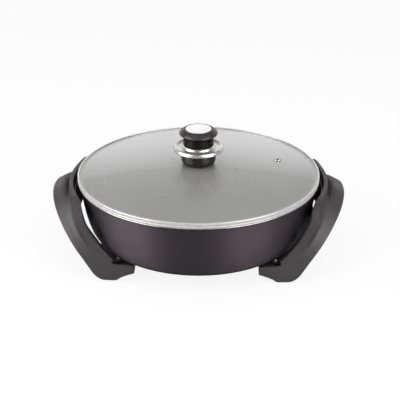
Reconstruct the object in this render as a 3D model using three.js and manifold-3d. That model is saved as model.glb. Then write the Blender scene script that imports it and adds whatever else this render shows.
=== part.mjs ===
// Electric skillet: a round cast pan carried by two arched side handles whose ends are
// its feet, with a domed glass lid that lifts straight off by its knob.
// Millimetres, +Z up. The origin is on the table under the pan's centre, and +X points
// towards the socket that the heating element's pins stand in.

import * as THREE from 'three';
import { mergeVertices } from 'three/addons/utils/BufferGeometryUtils.js';
import Module from 'manifold-3d';

const wasm = await Module();
wasm.setup();

// General fits and facet counts
const GAP = 0.3;
const PAN_SIDES = 44;
const KNOB_SIDES = 24;
const BOLT_SIDES = 8;

// Pan
const PAN_BASE_Z = 24;
const PAN_RECESS_RADIUS = 97;
const PAN_RING_Z = 22.6;
const PAN_RING_RADIUS = 117;
const PAN_CORNER_RADIUS = 147;
const PAN_SIDE_RADIUS = 151;
const PAN_SIDE_Z = 59;
const PAN_FLOOR_RADIUS = 124;
const PAN_RIM_Z = 105.7;
const PAN_WALL_RADIUS = 157.5;
const PAN_FLANGE_RADIUS = 159.4;
const PAN_FLANGE_HEIGHT = 3.2;
const PAN_WALL = 3;
const PAN_FLOOR = 4;

// Lid
const LID_RADIUS = 160;
const BAND_BOTTOM_Z = PAN_RIM_Z + GAP;
const BAND_TOP_Z = 113;
const BAND_SHEET = 1;
const BAND_LIP = 3.4;
const SKIRT_RADIUS = 152.8;
const SKIRT_DEPTH = 7;
const GLASS = 4;
const GLASS_EDGE_TOP_Z = BAND_TOP_Z - BAND_SHEET - GAP;
const GLASS_CROWN_Z = 124.1;
const GLASS_BEND_RADIUS = 149;
const VENT_X = 105.5;
const VENT_Y = 25;

// Knob
const KNOB_FOOT_RADIUS = 20.4;
const KNOB_BASE_TOP_Z = 143;
const KNOB_BASE_TOP_RADIUS = 23.2;
const GUARD_RADIUS = 33.5;
const GUARD_Z = 144.6;
const GUARD_RIM_TOP_Z = 149.2;
const NECK_RADIUS = 19.8;
const NECK_BOTTOM_Z = 151;
const CAP_RADIUS = 25.2;
const CAP_LIP_Z = 164.8;
const CAP_TOP_Z = 172.6;
const INLAY_RADIUS = 16.8;
const INLAY_TOP_Z = 173.8;
const KNOB_STUD_RADIUS = 2.5;
const STUD_TIP_Z = 159;

// Handles: an arch seen from the side, whose legs lean outwards to the feet
const LEG_FOOT_Y = 105.6;
const LEG_LEAN = 0.1873;
const BEND_END_GAP = 3;
const LEG_INNER_X = 106.8;
const LEG_INNER_SPREAD = 1.067;
const LEG_INNER_CURVE = -0.0067;
const LEG_OUTER_X = 145.8;
const LEG_OUTER_SPREAD = 0.7064;
const LEG_OUTER_CURVE = 0.0032;
const RIDGE_INNER_RADIUS = 166;
const RIDGE_TOP_Z = 103.7;
const RIDGE_WIDTH_CROWN = 5.5;
const RIDGE_WIDTH_LEG = 12;
const RIDGE_WIDTH_FOOT = 0.34;
const GRIP_REACH = 193.7;
const GRIP_TAPER = 15.3;
const GRIP_TAPER_AT = 60;
const FOOT_TOP_Z = 29.3;
const SOLE_Z = 1.5;
const LEG_WALL = 3.2;
const TOE_DEPTH_GROWTH = 1.6;
const TOE_DEPTH_END = 3.6;
const TOE_FRONT_RISE = 5.2;
const TOE_FRONT_DEPTH = 5;

// Plates that close the grips' hollow undersides
const COVER_PLATE_SCREW_X = 177;
const COVER_PLATE_SCREW_Y = 26;
const COVER_PLATE_Z = 75;
const COVER_PLATE = 2.4;
const GRIP_POST_RADIUS = 3.6;
const GRIP_POST_TOP_Z = 93;
const PLATE_SCREW_RADIUS = 1.2;
const PLATE_SCREW_TIP_Z = 86;

// Foot ties: bars under the pan that join each handle's front and rear feet
const TIE_INNER_X = 98;
const TIE_OUTER_X = 130;
const TIE_BOTTOM_Z = 10;
const TIE_TOP_Z = 20;
const TIE_END_Y = 68.4;

// Heat shields between the pan's wall and the grips
const SHIELD_BOTTOM_Z = 62;
const SHIELD_TOP_Z = 94.5;
const SHIELD_BOTTOM_RADIUS = 158.2;
const SHIELD_TOP_RADIUS = 162.9;
const SHIELD_SHEET = 2;
const SHIELD_HALF_ANGLE = 15;

// Fixings under the pan
const TOE_SCREW_X = 101;
const TOE_SCREW_Y = 82.5;
const TOE_TOP_Z = 19.9;
const SPACER_TOP_Z = 23.6;
const SPACER_RADIUS = 4.2;
const SCREW_RADIUS = 2;
const SCREW_HEAD_RADIUS = 4;
const PAD_X = 109;
const PAD_Y = 92;
const PAD_RADIUS = 7;

// Heating parts under the pan
const ELEMENT_RADIUS = 78;
const ELEMENT_Z = 17.3;
const ELEMENT_TUBE = 3.6;
const PIN_Y = 15;
const PIN_RADIUS = 2.4;
const PIN_TIP_X = 147;
const TUBE_END_X = 110;
const PROBE_RADIUS = 4.2;
const PROBE_BORE = 3.2;
const COVER_RADIUS = 90;
const COVER_BOTTOM_Z = 9.5;
const COVER_SHEET = 1;
const COVER_SCREW_RADIUS = 48;
const COVER_SCREWS = 3;

// Socket round the pins
const SOCKET_FACE_X = 153.5;
const SOCKET_BACK_X = 112;
const SOCKET_HALF_WIDTH = 34;
const SOCKET_BOTTOM_Z = 9;
const SOCKET_TOP_Z = 72;
const SOCKET_WALL = 3.5;
const MOUTH_TOP_Z = 42;
const MOUTH_BACK_X = 131;
const SOCKET_SCREW_X = 121;
const SOCKET_SCREW_Y = 27.5;

// Materials
function finish(color, roughness, metalness) {
  return new THREE.MeshStandardMaterial({ color, roughness, metalness });
}
const castCoating = finish(0x46444a, 0.45, 0.2);
const steel = finish(0xc9c9c7, 0.25, 1);
const aluminium = finish(0xb4b6b8, 0.4, 1);
const chrome = finish(0xe4e4e4, 0.08, 1);
const satinPlastic = finish(0x4a4849, 0.5, 0);
const glossPlastic = finish(0x18181a, 0.15, 0);
const rubber = finish(0x202022, 0.9, 0);
const ceramic = finish(0xe6e2d8, 0.6, 0);
const silicone = finish(0x8c8c8c, 0.7, 0);
const glass = finish(0xd8dcdc, 0.05, 0);
glass.transparent = true;
glass.opacity = 0.35;

// Geometry helpers

// Merge a geometry's shared vertices, drop its empty triangles and turn its faces outwards
function weld(geometry) {
  const bare = new THREE.BufferGeometry();
  bare.setAttribute('position', geometry.getAttribute('position'));
  if (geometry.index) {
    bare.setIndex(geometry.index);
  }
  const merged = mergeVertices(bare, 1e-3);
  const corner = merged.getAttribute('position');
  const source = merged.index.array;
  const kept = [];
  const a = new THREE.Vector3();
  const b = new THREE.Vector3();
  const c = new THREE.Vector3();
  let volume = 0;
  for (let i = 0; i < source.length; i += 3) {
    const [p, q, r] = [source[i], source[i + 1], source[i + 2]];
    if (p === q || q === r || r === p) {
      continue;
    }
    kept.push([p, q, r]);
    a.fromBufferAttribute(corner, p);
    b.fromBufferAttribute(corner, q);
    c.fromBufferAttribute(corner, r);
    volume += a.dot(b.cross(c));
  }
  merged.setIndex(kept.flatMap(([p, q, r]) => (volume > 0 ? [p, q, r] : [p, r, q])));
  merged.computeVertexNormals();
  return merged;
}

function solid(geometry) {
  const welded = weld(geometry);
  return new wasm.Manifold(new wasm.Mesh({
    numProp: 3,
    vertProperties: Float32Array.from(welded.getAttribute('position').array),
    triVerts: Uint32Array.from(welded.index.array),
  }));
}

function skin(body) {
  const mesh = body.getMesh();
  const geometry = new THREE.BufferGeometry();
  geometry.setAttribute('position', new THREE.BufferAttribute(mesh.vertProperties, 3));
  geometry.setIndex(new THREE.BufferAttribute(mesh.triVerts, 1));
  geometry.computeVertexNormals();
  return geometry;
}

// Cut any number of geometries out of one, or join them to it
function cut(geometry, tools) {
  return skin(tools.reduce((body, tool) => body.subtract(solid(tool)), solid(geometry)));
}

function join(geometry, others) {
  return skin(others.reduce((body, other) => body.add(solid(other)), solid(geometry)));
}

// The largest body of a cut solid, without the chips that crossing cutters leave
function withoutChips(geometry) {
  const bodies = solid(geometry).decompose();
  return skin(bodies.reduce((first, second) => (first.volume() > second.volume() ? first : second)));
}

// A profile of [radius, z] points turned about the Z axis
function turned(points, sides) {
  const profile = points.map(([radius, z]) => new THREE.Vector2(radius, z));
  return weld(new THREE.LatheGeometry(profile, sides).rotateX(Math.PI / 2));
}

// The same for a profile that closes on itself
function turnedRing(points, sides) {
  return turned([...points, points[0]], sides);
}

function uprightRod(radius, bottom, top, x = 0, y = 0, sides = BOLT_SIDES) {
  return turned([[0, bottom], [radius, bottom], [radius, top], [0, top]], sides).translate(x, y, 0);
}

function rodAlongX(radius, from, to, y, z, sides = BOLT_SIDES) {
  return uprightRod(radius, from, to, 0, 0, sides).rotateY(Math.PI / 2).translate(0, y, z);
}

function boxBetween(low, high) {
  const size = high.map((value, i) => value - low[i]);
  const middle = high.map((value, i) => (value + low[i]) / 2);
  return new THREE.BoxGeometry(...size).translate(...middle);
}

// Points of an arc in a profile, angles in degrees
function arc(centreR, centreZ, radius, from, to, steps) {
  const points = [];
  for (let i = 0; i <= steps; i += 1) {
    const angle = THREE.MathUtils.degToRad(from + ((to - from) * i) / steps);
    points.push([centreR + radius * Math.cos(angle), centreZ + radius * Math.sin(angle)]);
  }
  return points;
}

// A screw that points up, with a domed head below its shank
function screw(x, y, headZ, tipZ) {
  const neck = headZ + 2.6;
  return turned([
    [0, headZ],
    [SCREW_HEAD_RADIUS * 0.7, headZ + 0.3],
    [SCREW_HEAD_RADIUS, headZ + 1.6],
    [SCREW_HEAD_RADIUS, neck],
    [SCREW_RADIUS, neck],
    [SCREW_RADIUS, tipZ - 1],
    [SCREW_RADIUS * 0.5, tipZ],
    [0, tipZ],
  ], BOLT_SIDES).translate(x, y, 0);
}

// Skin over rings of points, each ring closed and both ends capped by a fan
function loft(rings) {
  const count = rings[0].length;
  const positions = rings.flatMap((ring) => ring.flatMap((point) => [point.x, point.y, point.z]));
  const faces = [];
  for (let i = 0; i + 1 < rings.length; i += 1) {
    for (let j = 0; j < count; j += 1) {
      const here = i * count + j;
      const beside = i * count + ((j + 1) % count);
      faces.push(here, beside, here + count);
      faces.push(beside, beside + count, here + count);
    }
  }
  [0, rings.length - 1].forEach((end) => {
    const middle = rings[end].reduce((sum, point) => sum.add(point), new THREE.Vector3());
    middle.divideScalar(count);
    const hub = positions.length / 3;
    positions.push(middle.x, middle.y, middle.z);
    for (let j = 0; j < count; j += 1) {
      const here = end * count + j;
      const beside = end * count + ((j + 1) % count);
      if (end === 0) {
        faces.push(hub, beside, here);
      } else {
        faces.push(hub, here, beside);
      }
    }
  });
  const geometry = new THREE.BufferGeometry();
  geometry.setAttribute('position', new THREE.Float32BufferAttribute(positions, 3));
  geometry.setIndex(faces);
  return weld(geometry);
}

// Assembly
const skillet = new THREE.Group();

function add(name, geometry, material) {
  const mesh = new THREE.Mesh(geometry, material);
  mesh.name = name;
  skillet.add(mesh);
}

// Pan: the wall's outside is one curve from the ring that it stands on to the rim flange
const WALL_STEPS = 10;
const wallCurve = new THREE.CubicBezierCurve(
  new THREE.Vector2(PAN_RING_RADIUS, PAN_RING_Z),
  new THREE.Vector2(PAN_CORNER_RADIUS, PAN_RING_Z),
  new THREE.Vector2(PAN_SIDE_RADIUS, PAN_SIDE_Z),
  new THREE.Vector2(PAN_WALL_RADIUS, PAN_RIM_Z - PAN_FLANGE_HEIGHT),
);

function wallPoints(inset) {
  const points = [];
  for (let i = 0; i <= WALL_STEPS; i += 1) {
    const t = i / WALL_STEPS;
    const point = wallCurve.getPoint(t);
    const along = wallCurve.getTangent(t);
    points.push([point.x - inset * along.y, point.y + inset * along.x]);
  }
  return points;
}

const panOutside = turned([
  [0, PAN_BASE_Z],
  [PAN_RECESS_RADIUS, PAN_BASE_Z],
  [PAN_RECESS_RADIUS + 1.6, PAN_RING_Z],
  ...wallPoints(0),
  [PAN_FLANGE_RADIUS, PAN_RIM_Z - PAN_FLANGE_HEIGHT + 0.6],
  [PAN_FLANGE_RADIUS, PAN_RIM_Z],
  [0, PAN_RIM_Z],
], PAN_SIDES);

const cavityWall = wallPoints(PAN_WALL).filter(([, z]) => z > PAN_BASE_Z + PAN_FLOOR + 1);
const panCavity = turned([
  [0, PAN_BASE_Z + PAN_FLOOR],
  [PAN_FLOOR_RADIUS, PAN_BASE_Z + PAN_FLOOR],
  ...cavityWall,
  [PAN_WALL_RADIUS - PAN_WALL, PAN_RIM_Z + 5],
  [0, PAN_RIM_Z + 5],
], PAN_SIDES);

const coverScrewPlaces = Array.from({ length: COVER_SCREWS }, (_, i) => {
  const angle = (2 * Math.PI * (i + 0.5)) / COVER_SCREWS;
  return [COVER_SCREW_RADIUS * Math.cos(angle), COVER_SCREW_RADIUS * Math.sin(angle)];
});
const toeScrewPlaces = [-1, 1].flatMap((x) => [-1, 1].map((y) => [x * TOE_SCREW_X, y * TOE_SCREW_Y]));
const socketScrewPlaces = [-1, 1].map((y) => [SOCKET_SCREW_X, y * SOCKET_SCREW_Y]);

const BOSS_HOLE_TOP_Z = PAN_BASE_Z + 2.4;
const toeBosses = toeScrewPlaces.map(([x, y]) => uprightRod(6, SPACER_TOP_Z + GAP, 40, x, y));
const coverBosses = coverScrewPlaces.map(([x, y]) => {
  return uprightRod(5, COVER_BOTTOM_Z + COVER_SHEET + GAP, PAN_BASE_Z + 1, x, y);
});
const socketBosses = socketScrewPlaces.map(([x, y]) => uprightRod(5, PAN_BASE_Z - 3, 34, x, y));
const bossHoles = [...toeScrewPlaces, ...coverScrewPlaces, ...socketScrewPlaces].map(([x, y]) => {
  return uprightRod(SCREW_RADIUS + GAP, 0, BOSS_HOLE_TOP_Z, x, y);
});
const panCasting = join(panOutside, [...toeBosses, ...coverBosses, ...socketBosses]);
add('pan', cut(panCasting, [panCavity, ...bossHoles]), castCoating);

// Heating element: an open ring of sheathed tube whose two ends run out along +X
const TUBE_SIDES = 8;
const ELEMENT_OPENING = 24;
const ELEMENT_ARC_STEPS = 16;
const elementEnd = [[TUBE_END_X, PIN_Y], [98, PIN_Y], [89, 16.5], [80.5, 22]];
const elementArc = Array.from({ length: ELEMENT_ARC_STEPS + 1 }, (_, i) => {
  const degrees = ELEMENT_OPENING + ((360 - 2 * ELEMENT_OPENING) * i) / ELEMENT_ARC_STEPS;
  const angle = THREE.MathUtils.degToRad(degrees);
  return [ELEMENT_RADIUS * Math.cos(angle), ELEMENT_RADIUS * Math.sin(angle)];
});
const elementRoute = [
  ...elementEnd,
  ...elementArc,
  ...elementEnd.slice().reverse().map(([x, y]) => [x, -y]),
];
const elementPoints = elementRoute.map(([x, y]) => new THREE.Vector3(x, y, ELEMENT_Z));
const elementPath = new THREE.CatmullRomCurve3(elementPoints);

function tube(path, radius, steps, sides) {
  const outline = new THREE.Shape();
  for (let i = 0; i < sides; i += 1) {
    const angle = (2 * Math.PI * i) / sides;
    if (i === 0) {
      outline.moveTo(radius, 0);
    } else {
      outline.lineTo(radius * Math.cos(angle), radius * Math.sin(angle));
    }
  }
  return weld(new THREE.ExtrudeGeometry(outline, { steps, extrudePath: path, curveSegments: 1 }));
}

add('heating_element', tube(elementPath, ELEMENT_TUBE, 60, TUBE_SIDES), steel);

// Heat spreader: an aluminium ring with a groove that holds the element against the pan
const SPREADER_TOP_Z = PAN_BASE_Z - GAP;
const SPREADER_HALF_WIDTH = 12;
const groove = arc(ELEMENT_RADIUS, ELEMENT_Z, ELEMENT_TUBE + 2 * GAP, 180, 0, 8);
const spreader = turnedRing([
  [ELEMENT_RADIUS - SPREADER_HALF_WIDTH, SPREADER_TOP_Z],
  [ELEMENT_RADIUS - SPREADER_HALF_WIDTH, SPREADER_TOP_Z - 2],
  [ELEMENT_RADIUS - 6, ELEMENT_Z],
  ...groove,
  [ELEMENT_RADIUS + 6, ELEMENT_Z],
  [ELEMENT_RADIUS + SPREADER_HALF_WIDTH - 1, SPREADER_TOP_Z - 2],
  [ELEMENT_RADIUS + SPREADER_HALF_WIDTH - 1, SPREADER_TOP_Z],
], PAN_SIDES);
const spreaderNotch = boxBetween([30, -PIN_Y - 33, 0], [130, PIN_Y + 33, PAN_BASE_Z + 5]);
add('heat_spreader', cut(spreader, [spreaderNotch]), aluminium);

// Terminal pins in ceramic bushes, and the well that takes the control's probe
[['live', -1], ['neutral', 1]].forEach(([name, side]) => {
  const y = side * PIN_Y;
  const bush = rodAlongX(5, TUBE_END_X + GAP, TUBE_END_X + 7, y, ELEMENT_Z);
  const bushHole = rodAlongX(PIN_RADIUS + GAP, TUBE_END_X - 1, TUBE_END_X + 8, y, ELEMENT_Z);
  add(`${name}_pin_bush`, cut(bush, [bushHole]), ceramic);
  const pin = turned([
    [0, TUBE_END_X + GAP],
    [PIN_RADIUS, TUBE_END_X + GAP],
    [PIN_RADIUS, PIN_TIP_X - 2.5],
    [PIN_RADIUS * 0.5, PIN_TIP_X],
    [0, PIN_TIP_X],
  ], BOLT_SIDES).rotateY(Math.PI / 2).translate(0, y, ELEMENT_Z);
  add(`${name}_pin`, pin, steel);
});
const probeWell = turnedRing([
  [0, 97],
  [PROBE_RADIUS, 98],
  [PROBE_RADIUS, 133],
  [PROBE_BORE, 133],
  [PROBE_BORE, 100],
  [0, 99.5],
], BOLT_SIDES).rotateY(Math.PI / 2).translate(0, 0, ELEMENT_Z);
add('probe_well', probeWell, steel);

// Base cover: a pressed steel dish with slots, held by screws to bosses on the pan
const coverTopZ = PAN_BASE_Z - 2.5;
const dish = turnedRing([
  [0, COVER_BOTTOM_Z],
  [COVER_RADIUS - 5, COVER_BOTTOM_Z],
  [COVER_RADIUS, COVER_BOTTOM_Z + 5],
  [COVER_RADIUS, coverTopZ],
  [COVER_RADIUS - COVER_SHEET, coverTopZ],
  [COVER_RADIUS - COVER_SHEET, COVER_BOTTOM_Z + 5.4],
  [COVER_RADIUS - 5.4, COVER_BOTTOM_Z + COVER_SHEET],
  [0, COVER_BOTTOM_Z + COVER_SHEET],
], PAN_SIDES);
const SLOTS = 6;
const coverSlots = Array.from({ length: SLOTS }, (_, i) => {
  return boxBetween([58, -2.5, 0], [76, 2.5, 14]).rotateZ((2 * Math.PI * (i + 0.5)) / SLOTS);
});
const elementPort = boxBetween(
  [60, -PIN_Y - 8, COVER_BOTTOM_Z + COVER_SHEET + 2.5],
  [COVER_RADIUS + 5, PIN_Y + 8, PAN_BASE_Z + 5],
);
const coverHoles = coverScrewPlaces.map(([x, y]) => uprightRod(SCREW_RADIUS + GAP, 5, 14, x, y));
add('base_cover', cut(dish, [...coverSlots, elementPort, ...coverHoles]), steel);
coverScrewPlaces.forEach(([x, y], i) => {
  const head = COVER_BOTTOM_Z - GAP - 2.6;
  add(`base_cover_screw_${i + 1}`, screw(x, y, head, BOSS_HOLE_TOP_Z - GAP), steel);
});

// Socket: a moulded housing round the pins, open towards +X and shaped to the pan's wall
const panClearance = turned([
  [0, PAN_BASE_Z - GAP],
  ...wallPoints(-2 * GAP),
  [PAN_FLANGE_RADIUS + 1, PAN_RIM_Z],
  [0, PAN_RIM_Z],
], PAN_SIDES);
const housingOutline = new THREE.Shape([
  new THREE.Vector2(SOCKET_BACK_X, SOCKET_BOTTOM_Z),
  new THREE.Vector2(SOCKET_FACE_X - 2, SOCKET_BOTTOM_Z),
  new THREE.Vector2(SOCKET_FACE_X, SOCKET_BOTTOM_Z + 2),
  new THREE.Vector2(SOCKET_FACE_X, SOCKET_TOP_Z - 8),
  new THREE.Vector2(SOCKET_FACE_X - 1.5, SOCKET_TOP_Z),
  new THREE.Vector2(SOCKET_BACK_X, SOCKET_TOP_Z),
]);
const housingBlock = new THREE.ExtrudeGeometry(housingOutline, {
  depth: 2 * SOCKET_HALF_WIDTH,
  bevelEnabled: false,
}).rotateX(Math.PI / 2).translate(0, SOCKET_HALF_WIDTH, 0);
const mouth = boxBetween(
  [MOUTH_BACK_X, -SOCKET_HALF_WIDTH + SOCKET_WALL, SOCKET_BOTTOM_Z + SOCKET_WALL],
  [SOCKET_FACE_X + 5, SOCKET_HALF_WIDTH - SOCKET_WALL, MOUTH_TOP_Z],
);
const pinHoles = [-1, 1].map((side) => {
  return rodAlongX(5 + GAP, SOCKET_BACK_X - 5, MOUTH_BACK_X + 1, side * PIN_Y, ELEMENT_Z);
});
const probeHole = rodAlongX(PROBE_RADIUS + GAP, SOCKET_BACK_X - 5, MOUTH_BACK_X + 1, 0, ELEMENT_Z);
const socketBores = socketScrewPlaces.flatMap(([x, y]) => [
  uprightRod(SCREW_RADIUS + GAP, 0, 40, x, y),
  uprightRod(SCREW_HEAD_RADIUS + GAP, 0, SOCKET_BOTTOM_Z + 3.2, x, y),
  uprightRod(5 + GAP, PAN_BASE_Z - 3 - GAP, 40, x, y),
]);
const housingCuts = [panClearance, mouth, ...pinHoles, probeHole, ...socketBores];
add('inlet_housing', cut(housingBlock, housingCuts), satinPlastic);
socketScrewPlaces.forEach(([x, y], i) => {
  add(`inlet_screw_${i + 1}`, screw(x, y, SOCKET_BOTTOM_Z + 0.3, BOSS_HOLE_TOP_Z - GAP), steel);
});

// Handles. A rail is one line that runs along the whole arch, from the front toe over the
// grip to the rear toe; the skin joins neighbouring rails. Each rail has its height on the
// grip, the radius of its bend into the legs, its depth behind the legs' outer face, and
// its place across the strip: a share of the inner ridge's width, then of the rest.
const legAngle = Math.atan(LEG_LEAN);
const bendAngle = Math.PI / 2 - legAngle;
const insetStretch = 1 / Math.cos(legAngle);

function rail(ridgeShare, gripShare, height, bend, depth, shift = 0) {
  return { ridgeShare, gripShare, height, bend, depth, shift };
}

const skinRails = [
  rail(0, 0, RIDGE_TOP_Z - 1.8, 32.5, 1.6),
  rail(0.3, 0, RIDGE_TOP_Z, 33.6, 0),
  rail(0.8, 0, RIDGE_TOP_Z, 33.6, 0),
  rail(1, 0, RIDGE_TOP_Z - 1.4, 34.5, 0),
  rail(1, 0.05, 93, 60, 0),
  rail(1, 0.4, 97, 97, 0),
  rail(1, 0.78, 92.8, 97, 0.2),
  rail(1, 0.94, 91, 96, 1),
  rail(1, 1, 88.6, 95, 3.2),
  rail(1, 0.985, 84.6, 92, 6.2),
  rail(1, 0.93, 79, 88, 9.5),
  rail(1, 0.84, 74, 82, 12.6),
  rail(1, 0.1, 72, 78, 13),
  rail(0.3, 0, 71, 76, 12.4),
  rail(0, 0, 73, 70, 10),
  rail(0, 0, 88, 50, TOE_FRONT_DEPTH),
];

// The hollow behind the skin, open towards the table and the pan
const hollowRails = [
  rail(0, 0, 58, 60, 18, LEG_WALL),
  rail(0, 0, RIDGE_TOP_Z - 5, 31, LEG_WALL, LEG_WALL),
  rail(1, 0, RIDGE_TOP_Z - 6.4, 33, LEG_WALL, -LEG_WALL),
  rail(1, 0.04, 89, 58, LEG_WALL),
  rail(1, 0.4, 92.8, 94, LEG_WALL),
  rail(1, 0.8, 88.6, 93, LEG_WALL + 0.4),
  rail(1, 1, 84, 90, 7, -LEG_WALL - 1),
  rail(1, 1, 58, 60, 18, -LEG_WALL - 3.4),
];

function spline(points) {
  const route = points.map(([x, z]) => new THREE.Vector3(x, 0, z));
  return new THREE.CatmullRomCurve3(route, false, 'catmullrom', 0.5);
}

// The strip's two edges through the foot, from the leg round to the toe's tip, as [x, z]
const footInner = spline([
  [LEG_INNER_X, FOOT_TOP_Z], [108.4, 24], [106, 20.9], [103, TOE_TOP_Z], [99.5, 19.6],
  [96, 19.4], [91, 19.2], [85.5, 18.8], [80, 18],
]);
const footOuter = spline([
  [LEG_OUTER_X, FOOT_TOP_Z], [137.8, 17.3], [131.6, 8.6], [123, 2.6], [113, SOLE_Z],
  [104, SOLE_Z], [98, 5], [89, 8.6], [78, 12],
]);

function legInnerX(z) {
  const rise = z - FOOT_TOP_Z;
  return LEG_INNER_X + LEG_INNER_SPREAD * rise + LEG_INNER_CURVE * rise * rise;
}

function legOuterX(z) {
  const rise = z - FOOT_TOP_Z;
  return LEG_OUTER_X + LEG_OUTER_SPREAD * rise + LEG_OUTER_CURVE * rise * rise;
}

function crownInnerX(y) {
  return Math.sqrt(RIDGE_INNER_RADIUS ** 2 - y * y);
}

function crownOuterX(y) {
  return GRIP_REACH - GRIP_TAPER * (y / GRIP_TAPER_AT) ** 2;
}

function acrossStrip(inner, outer, ridge, line) {
  return inner + line.ridgeShare * ridge + line.gripShare * (outer - inner - ridge) + line.shift;
}

// A rail turns from the grip into the leg on a conic arc that keeps a round bend's distance
// from the corner, starts where that bend would and ends above the foot
function bendArc(line, share) {
  const level = line.bend * Math.tan(bendAngle / 2);
  const down = Math.min(level, (line.height - FOOT_TOP_Z) / Math.cos(legAngle) - BEND_END_GAP);
  const gap = line.bend / Math.cos(bendAngle / 2) - line.bend;
  const outward = down * Math.sin(legAngle);
  const drop = down * Math.cos(legAngle);
  const weight = Math.hypot(outward - level, drop) / (2 * gap) - 1;
  const start = (1 - share) ** 2;
  const end = share ** 2;
  const total = start + 2 * weight * share * (1 - share) + end;
  return { y: (end * outward - start * level) / total, z: line.height - (end * drop) / total };
}

// Share of the round bend's turn at which a rail has come down to a height
function turnShare(line, z) {
  return Math.acos(Math.max(-1, 1 - (line.height - z) / line.bend)) / bendAngle;
}

// A rail's point at a station: 0 to 1 runs along the grip from its middle, 1 to 2 round the
// bend, 2 to 3 down the leg and 3 to 4 round the foot to the toe; minus is the front half
function handlePoint(line, station) {
  const along = Math.abs(station);
  const side = station < 0 ? -1 : 1;
  const depth = line.depth * insetStretch;
  const cornerY = LEG_FOOT_Y - LEG_LEAN * line.height - depth;
  const bendY = cornerY + bendArc(line, 0).y;
  const legTopZ = bendArc(line, 1).z;
  const widening = THREE.MathUtils.smoothstep(along, 0.6, 2);
  const ridge = THREE.MathUtils.lerp(RIDGE_WIDTH_CROWN, RIDGE_WIDTH_LEG, widening);
  if (along <= 1) {
    const y = bendY * along;
    const x = acrossStrip(crownInnerX(y), crownOuterX(y), ridge, line);
    return new THREE.Vector3(x, side * y, line.height);
  }
  if (along <= 2) {
    const arc = bendArc(line, along - 1);
    const y = cornerY + arc.y;
    const z = arc.z;
    const blend = THREE.MathUtils.smoothstep(turnShare(line, z) / turnShare(line, legTopZ), 0, 1);
    const inner = THREE.MathUtils.lerp(crownInnerX(y), legInnerX(z), blend);
    const outer = THREE.MathUtils.lerp(crownOuterX(y), legOuterX(z), blend);
    return new THREE.Vector3(acrossStrip(inner, outer, ridge, line), side * y, z);
  }
  if (along <= 3) {
    const z = THREE.MathUtils.lerp(legTopZ, FOOT_TOP_Z, along - 2);
    const y = LEG_FOOT_Y - LEG_LEAN * z - depth;
    return new THREE.Vector3(acrossStrip(legInnerX(z), legOuterX(z), ridge, line), side * y, z);
  }
  const inner = footInner.getPoint(along - 3);
  const outer = footOuter.getPoint(along - 3);
  const frontShare = Math.max(0, 1 - line.depth / TOE_FRONT_DEPTH);
  inner.z += TOE_FRONT_RISE * frontShare * THREE.MathUtils.smoothstep(along, 3, 3.3);
  const width = inner.distanceTo(outer);
  const ridgeWidth = Math.min(ridge, width * RIDGE_WIDTH_FOOT);
  const share = acrossStrip(0, width, ridgeWidth, line) / width;
  const point = inner.lerp(outer, share);
  const deepening = 1 + TOE_DEPTH_GROWTH * THREE.MathUtils.smoothstep(along, 3, TOE_DEPTH_END);
  point.y = side * (LEG_FOOT_Y - LEG_LEAN * point.z - depth * deepening);
  return point;
}

function handleLoft(rails, stations) {
  return loft(stations.map((station) => rails.map((line) => handlePoint(line, station))));
}

function steps(from, to, count) {
  return Array.from({ length: count + 1 }, (_, i) => from + ((to - from) * i) / count);
}

const stationRuns = [[0, 1, 3], [1, 2, 7], [2, 3, 3], [3, 4, 8]];
const halfStations = [0, ...stationRuns.flatMap(([from, to, count]) => steps(from, to, count).slice(1))];
const allStations = [...halfStations.slice(1).reverse().map((station) => -station), ...halfStations];

// Stretches of the hollow, with a cross rib left between neighbours
const hollowStretches = [[-1.3, 1.3, 10], [1.4, 1.64, 2], [1.78, 2.04, 2], [2.16, 2.5, 1], [2.62, 2.94, 1]];
const hollows = hollowStretches.flatMap(([from, to, count]) => {
  const rear = handleLoft(hollowRails, steps(from, to, count));
  return from < 0 ? [rear] : [rear, handleLoft(hollowRails, steps(-to, -from, count))];
});

const padBosses = [-1, 1].map((side) => uprightRod(PAD_RADIUS + 1, SOLE_Z, SOLE_Z + 6, PAD_X, side * PAD_Y));
const toeBores = [-1, 1].flatMap((side) => [
  uprightRod(SCREW_RADIUS + GAP, 0, 30, TOE_SCREW_X, side * TOE_SCREW_Y),
  uprightRod(SCREW_HEAD_RADIUS + GAP, 0, 11.5, TOE_SCREW_X, side * TOE_SCREW_Y),
]);
const gripPosts = [-1, 1].map((side) => {
  const bottom = COVER_PLATE_Z + COVER_PLATE + GAP;
  const y = side * COVER_PLATE_SCREW_Y;
  return uprightRod(GRIP_POST_RADIUS, bottom, GRIP_POST_TOP_Z, COVER_PLATE_SCREW_X, y);
});
const plateScrewHoles = [-1, 1].map((side) => {
  const radius = PLATE_SCREW_RADIUS + GAP;
  return uprightRod(radius, 60, PLATE_SCREW_TIP_Z + 1, COVER_PLATE_SCREW_X, side * COVER_PLATE_SCREW_Y);
});
const moulding = withoutChips(cut(handleLoft(skinRails, allStations), hollows));
const handleBody = join(moulding, [...padBosses, ...gripPosts]);
const rightHandle = cut(handleBody, [...toeBores, ...plateScrewHoles]);

// The plate that closes the hollow under the grip, set between the moulding's walls
const PLATE_BEND = 30;
const PLATE_DEPTH = 13;
const plateOuterShift = -LEG_WALL - 4.4;
const plateRails = [
  rail(0, 0, COVER_PLATE_Z, PLATE_BEND, PLATE_DEPTH, LEG_WALL + GAP),
  rail(0, 0, COVER_PLATE_Z + COVER_PLATE, PLATE_BEND, PLATE_DEPTH, LEG_WALL + GAP),
  rail(1, 1, COVER_PLATE_Z + COVER_PLATE, PLATE_BEND, PLATE_DEPTH, plateOuterShift),
  rail(1, 1, COVER_PLATE_Z, PLATE_BEND, PLATE_DEPTH, plateOuterShift),
];
const rightPlate = cut(handleLoft(plateRails, steps(-0.72, 0.72, 6)), plateScrewHoles);

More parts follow.
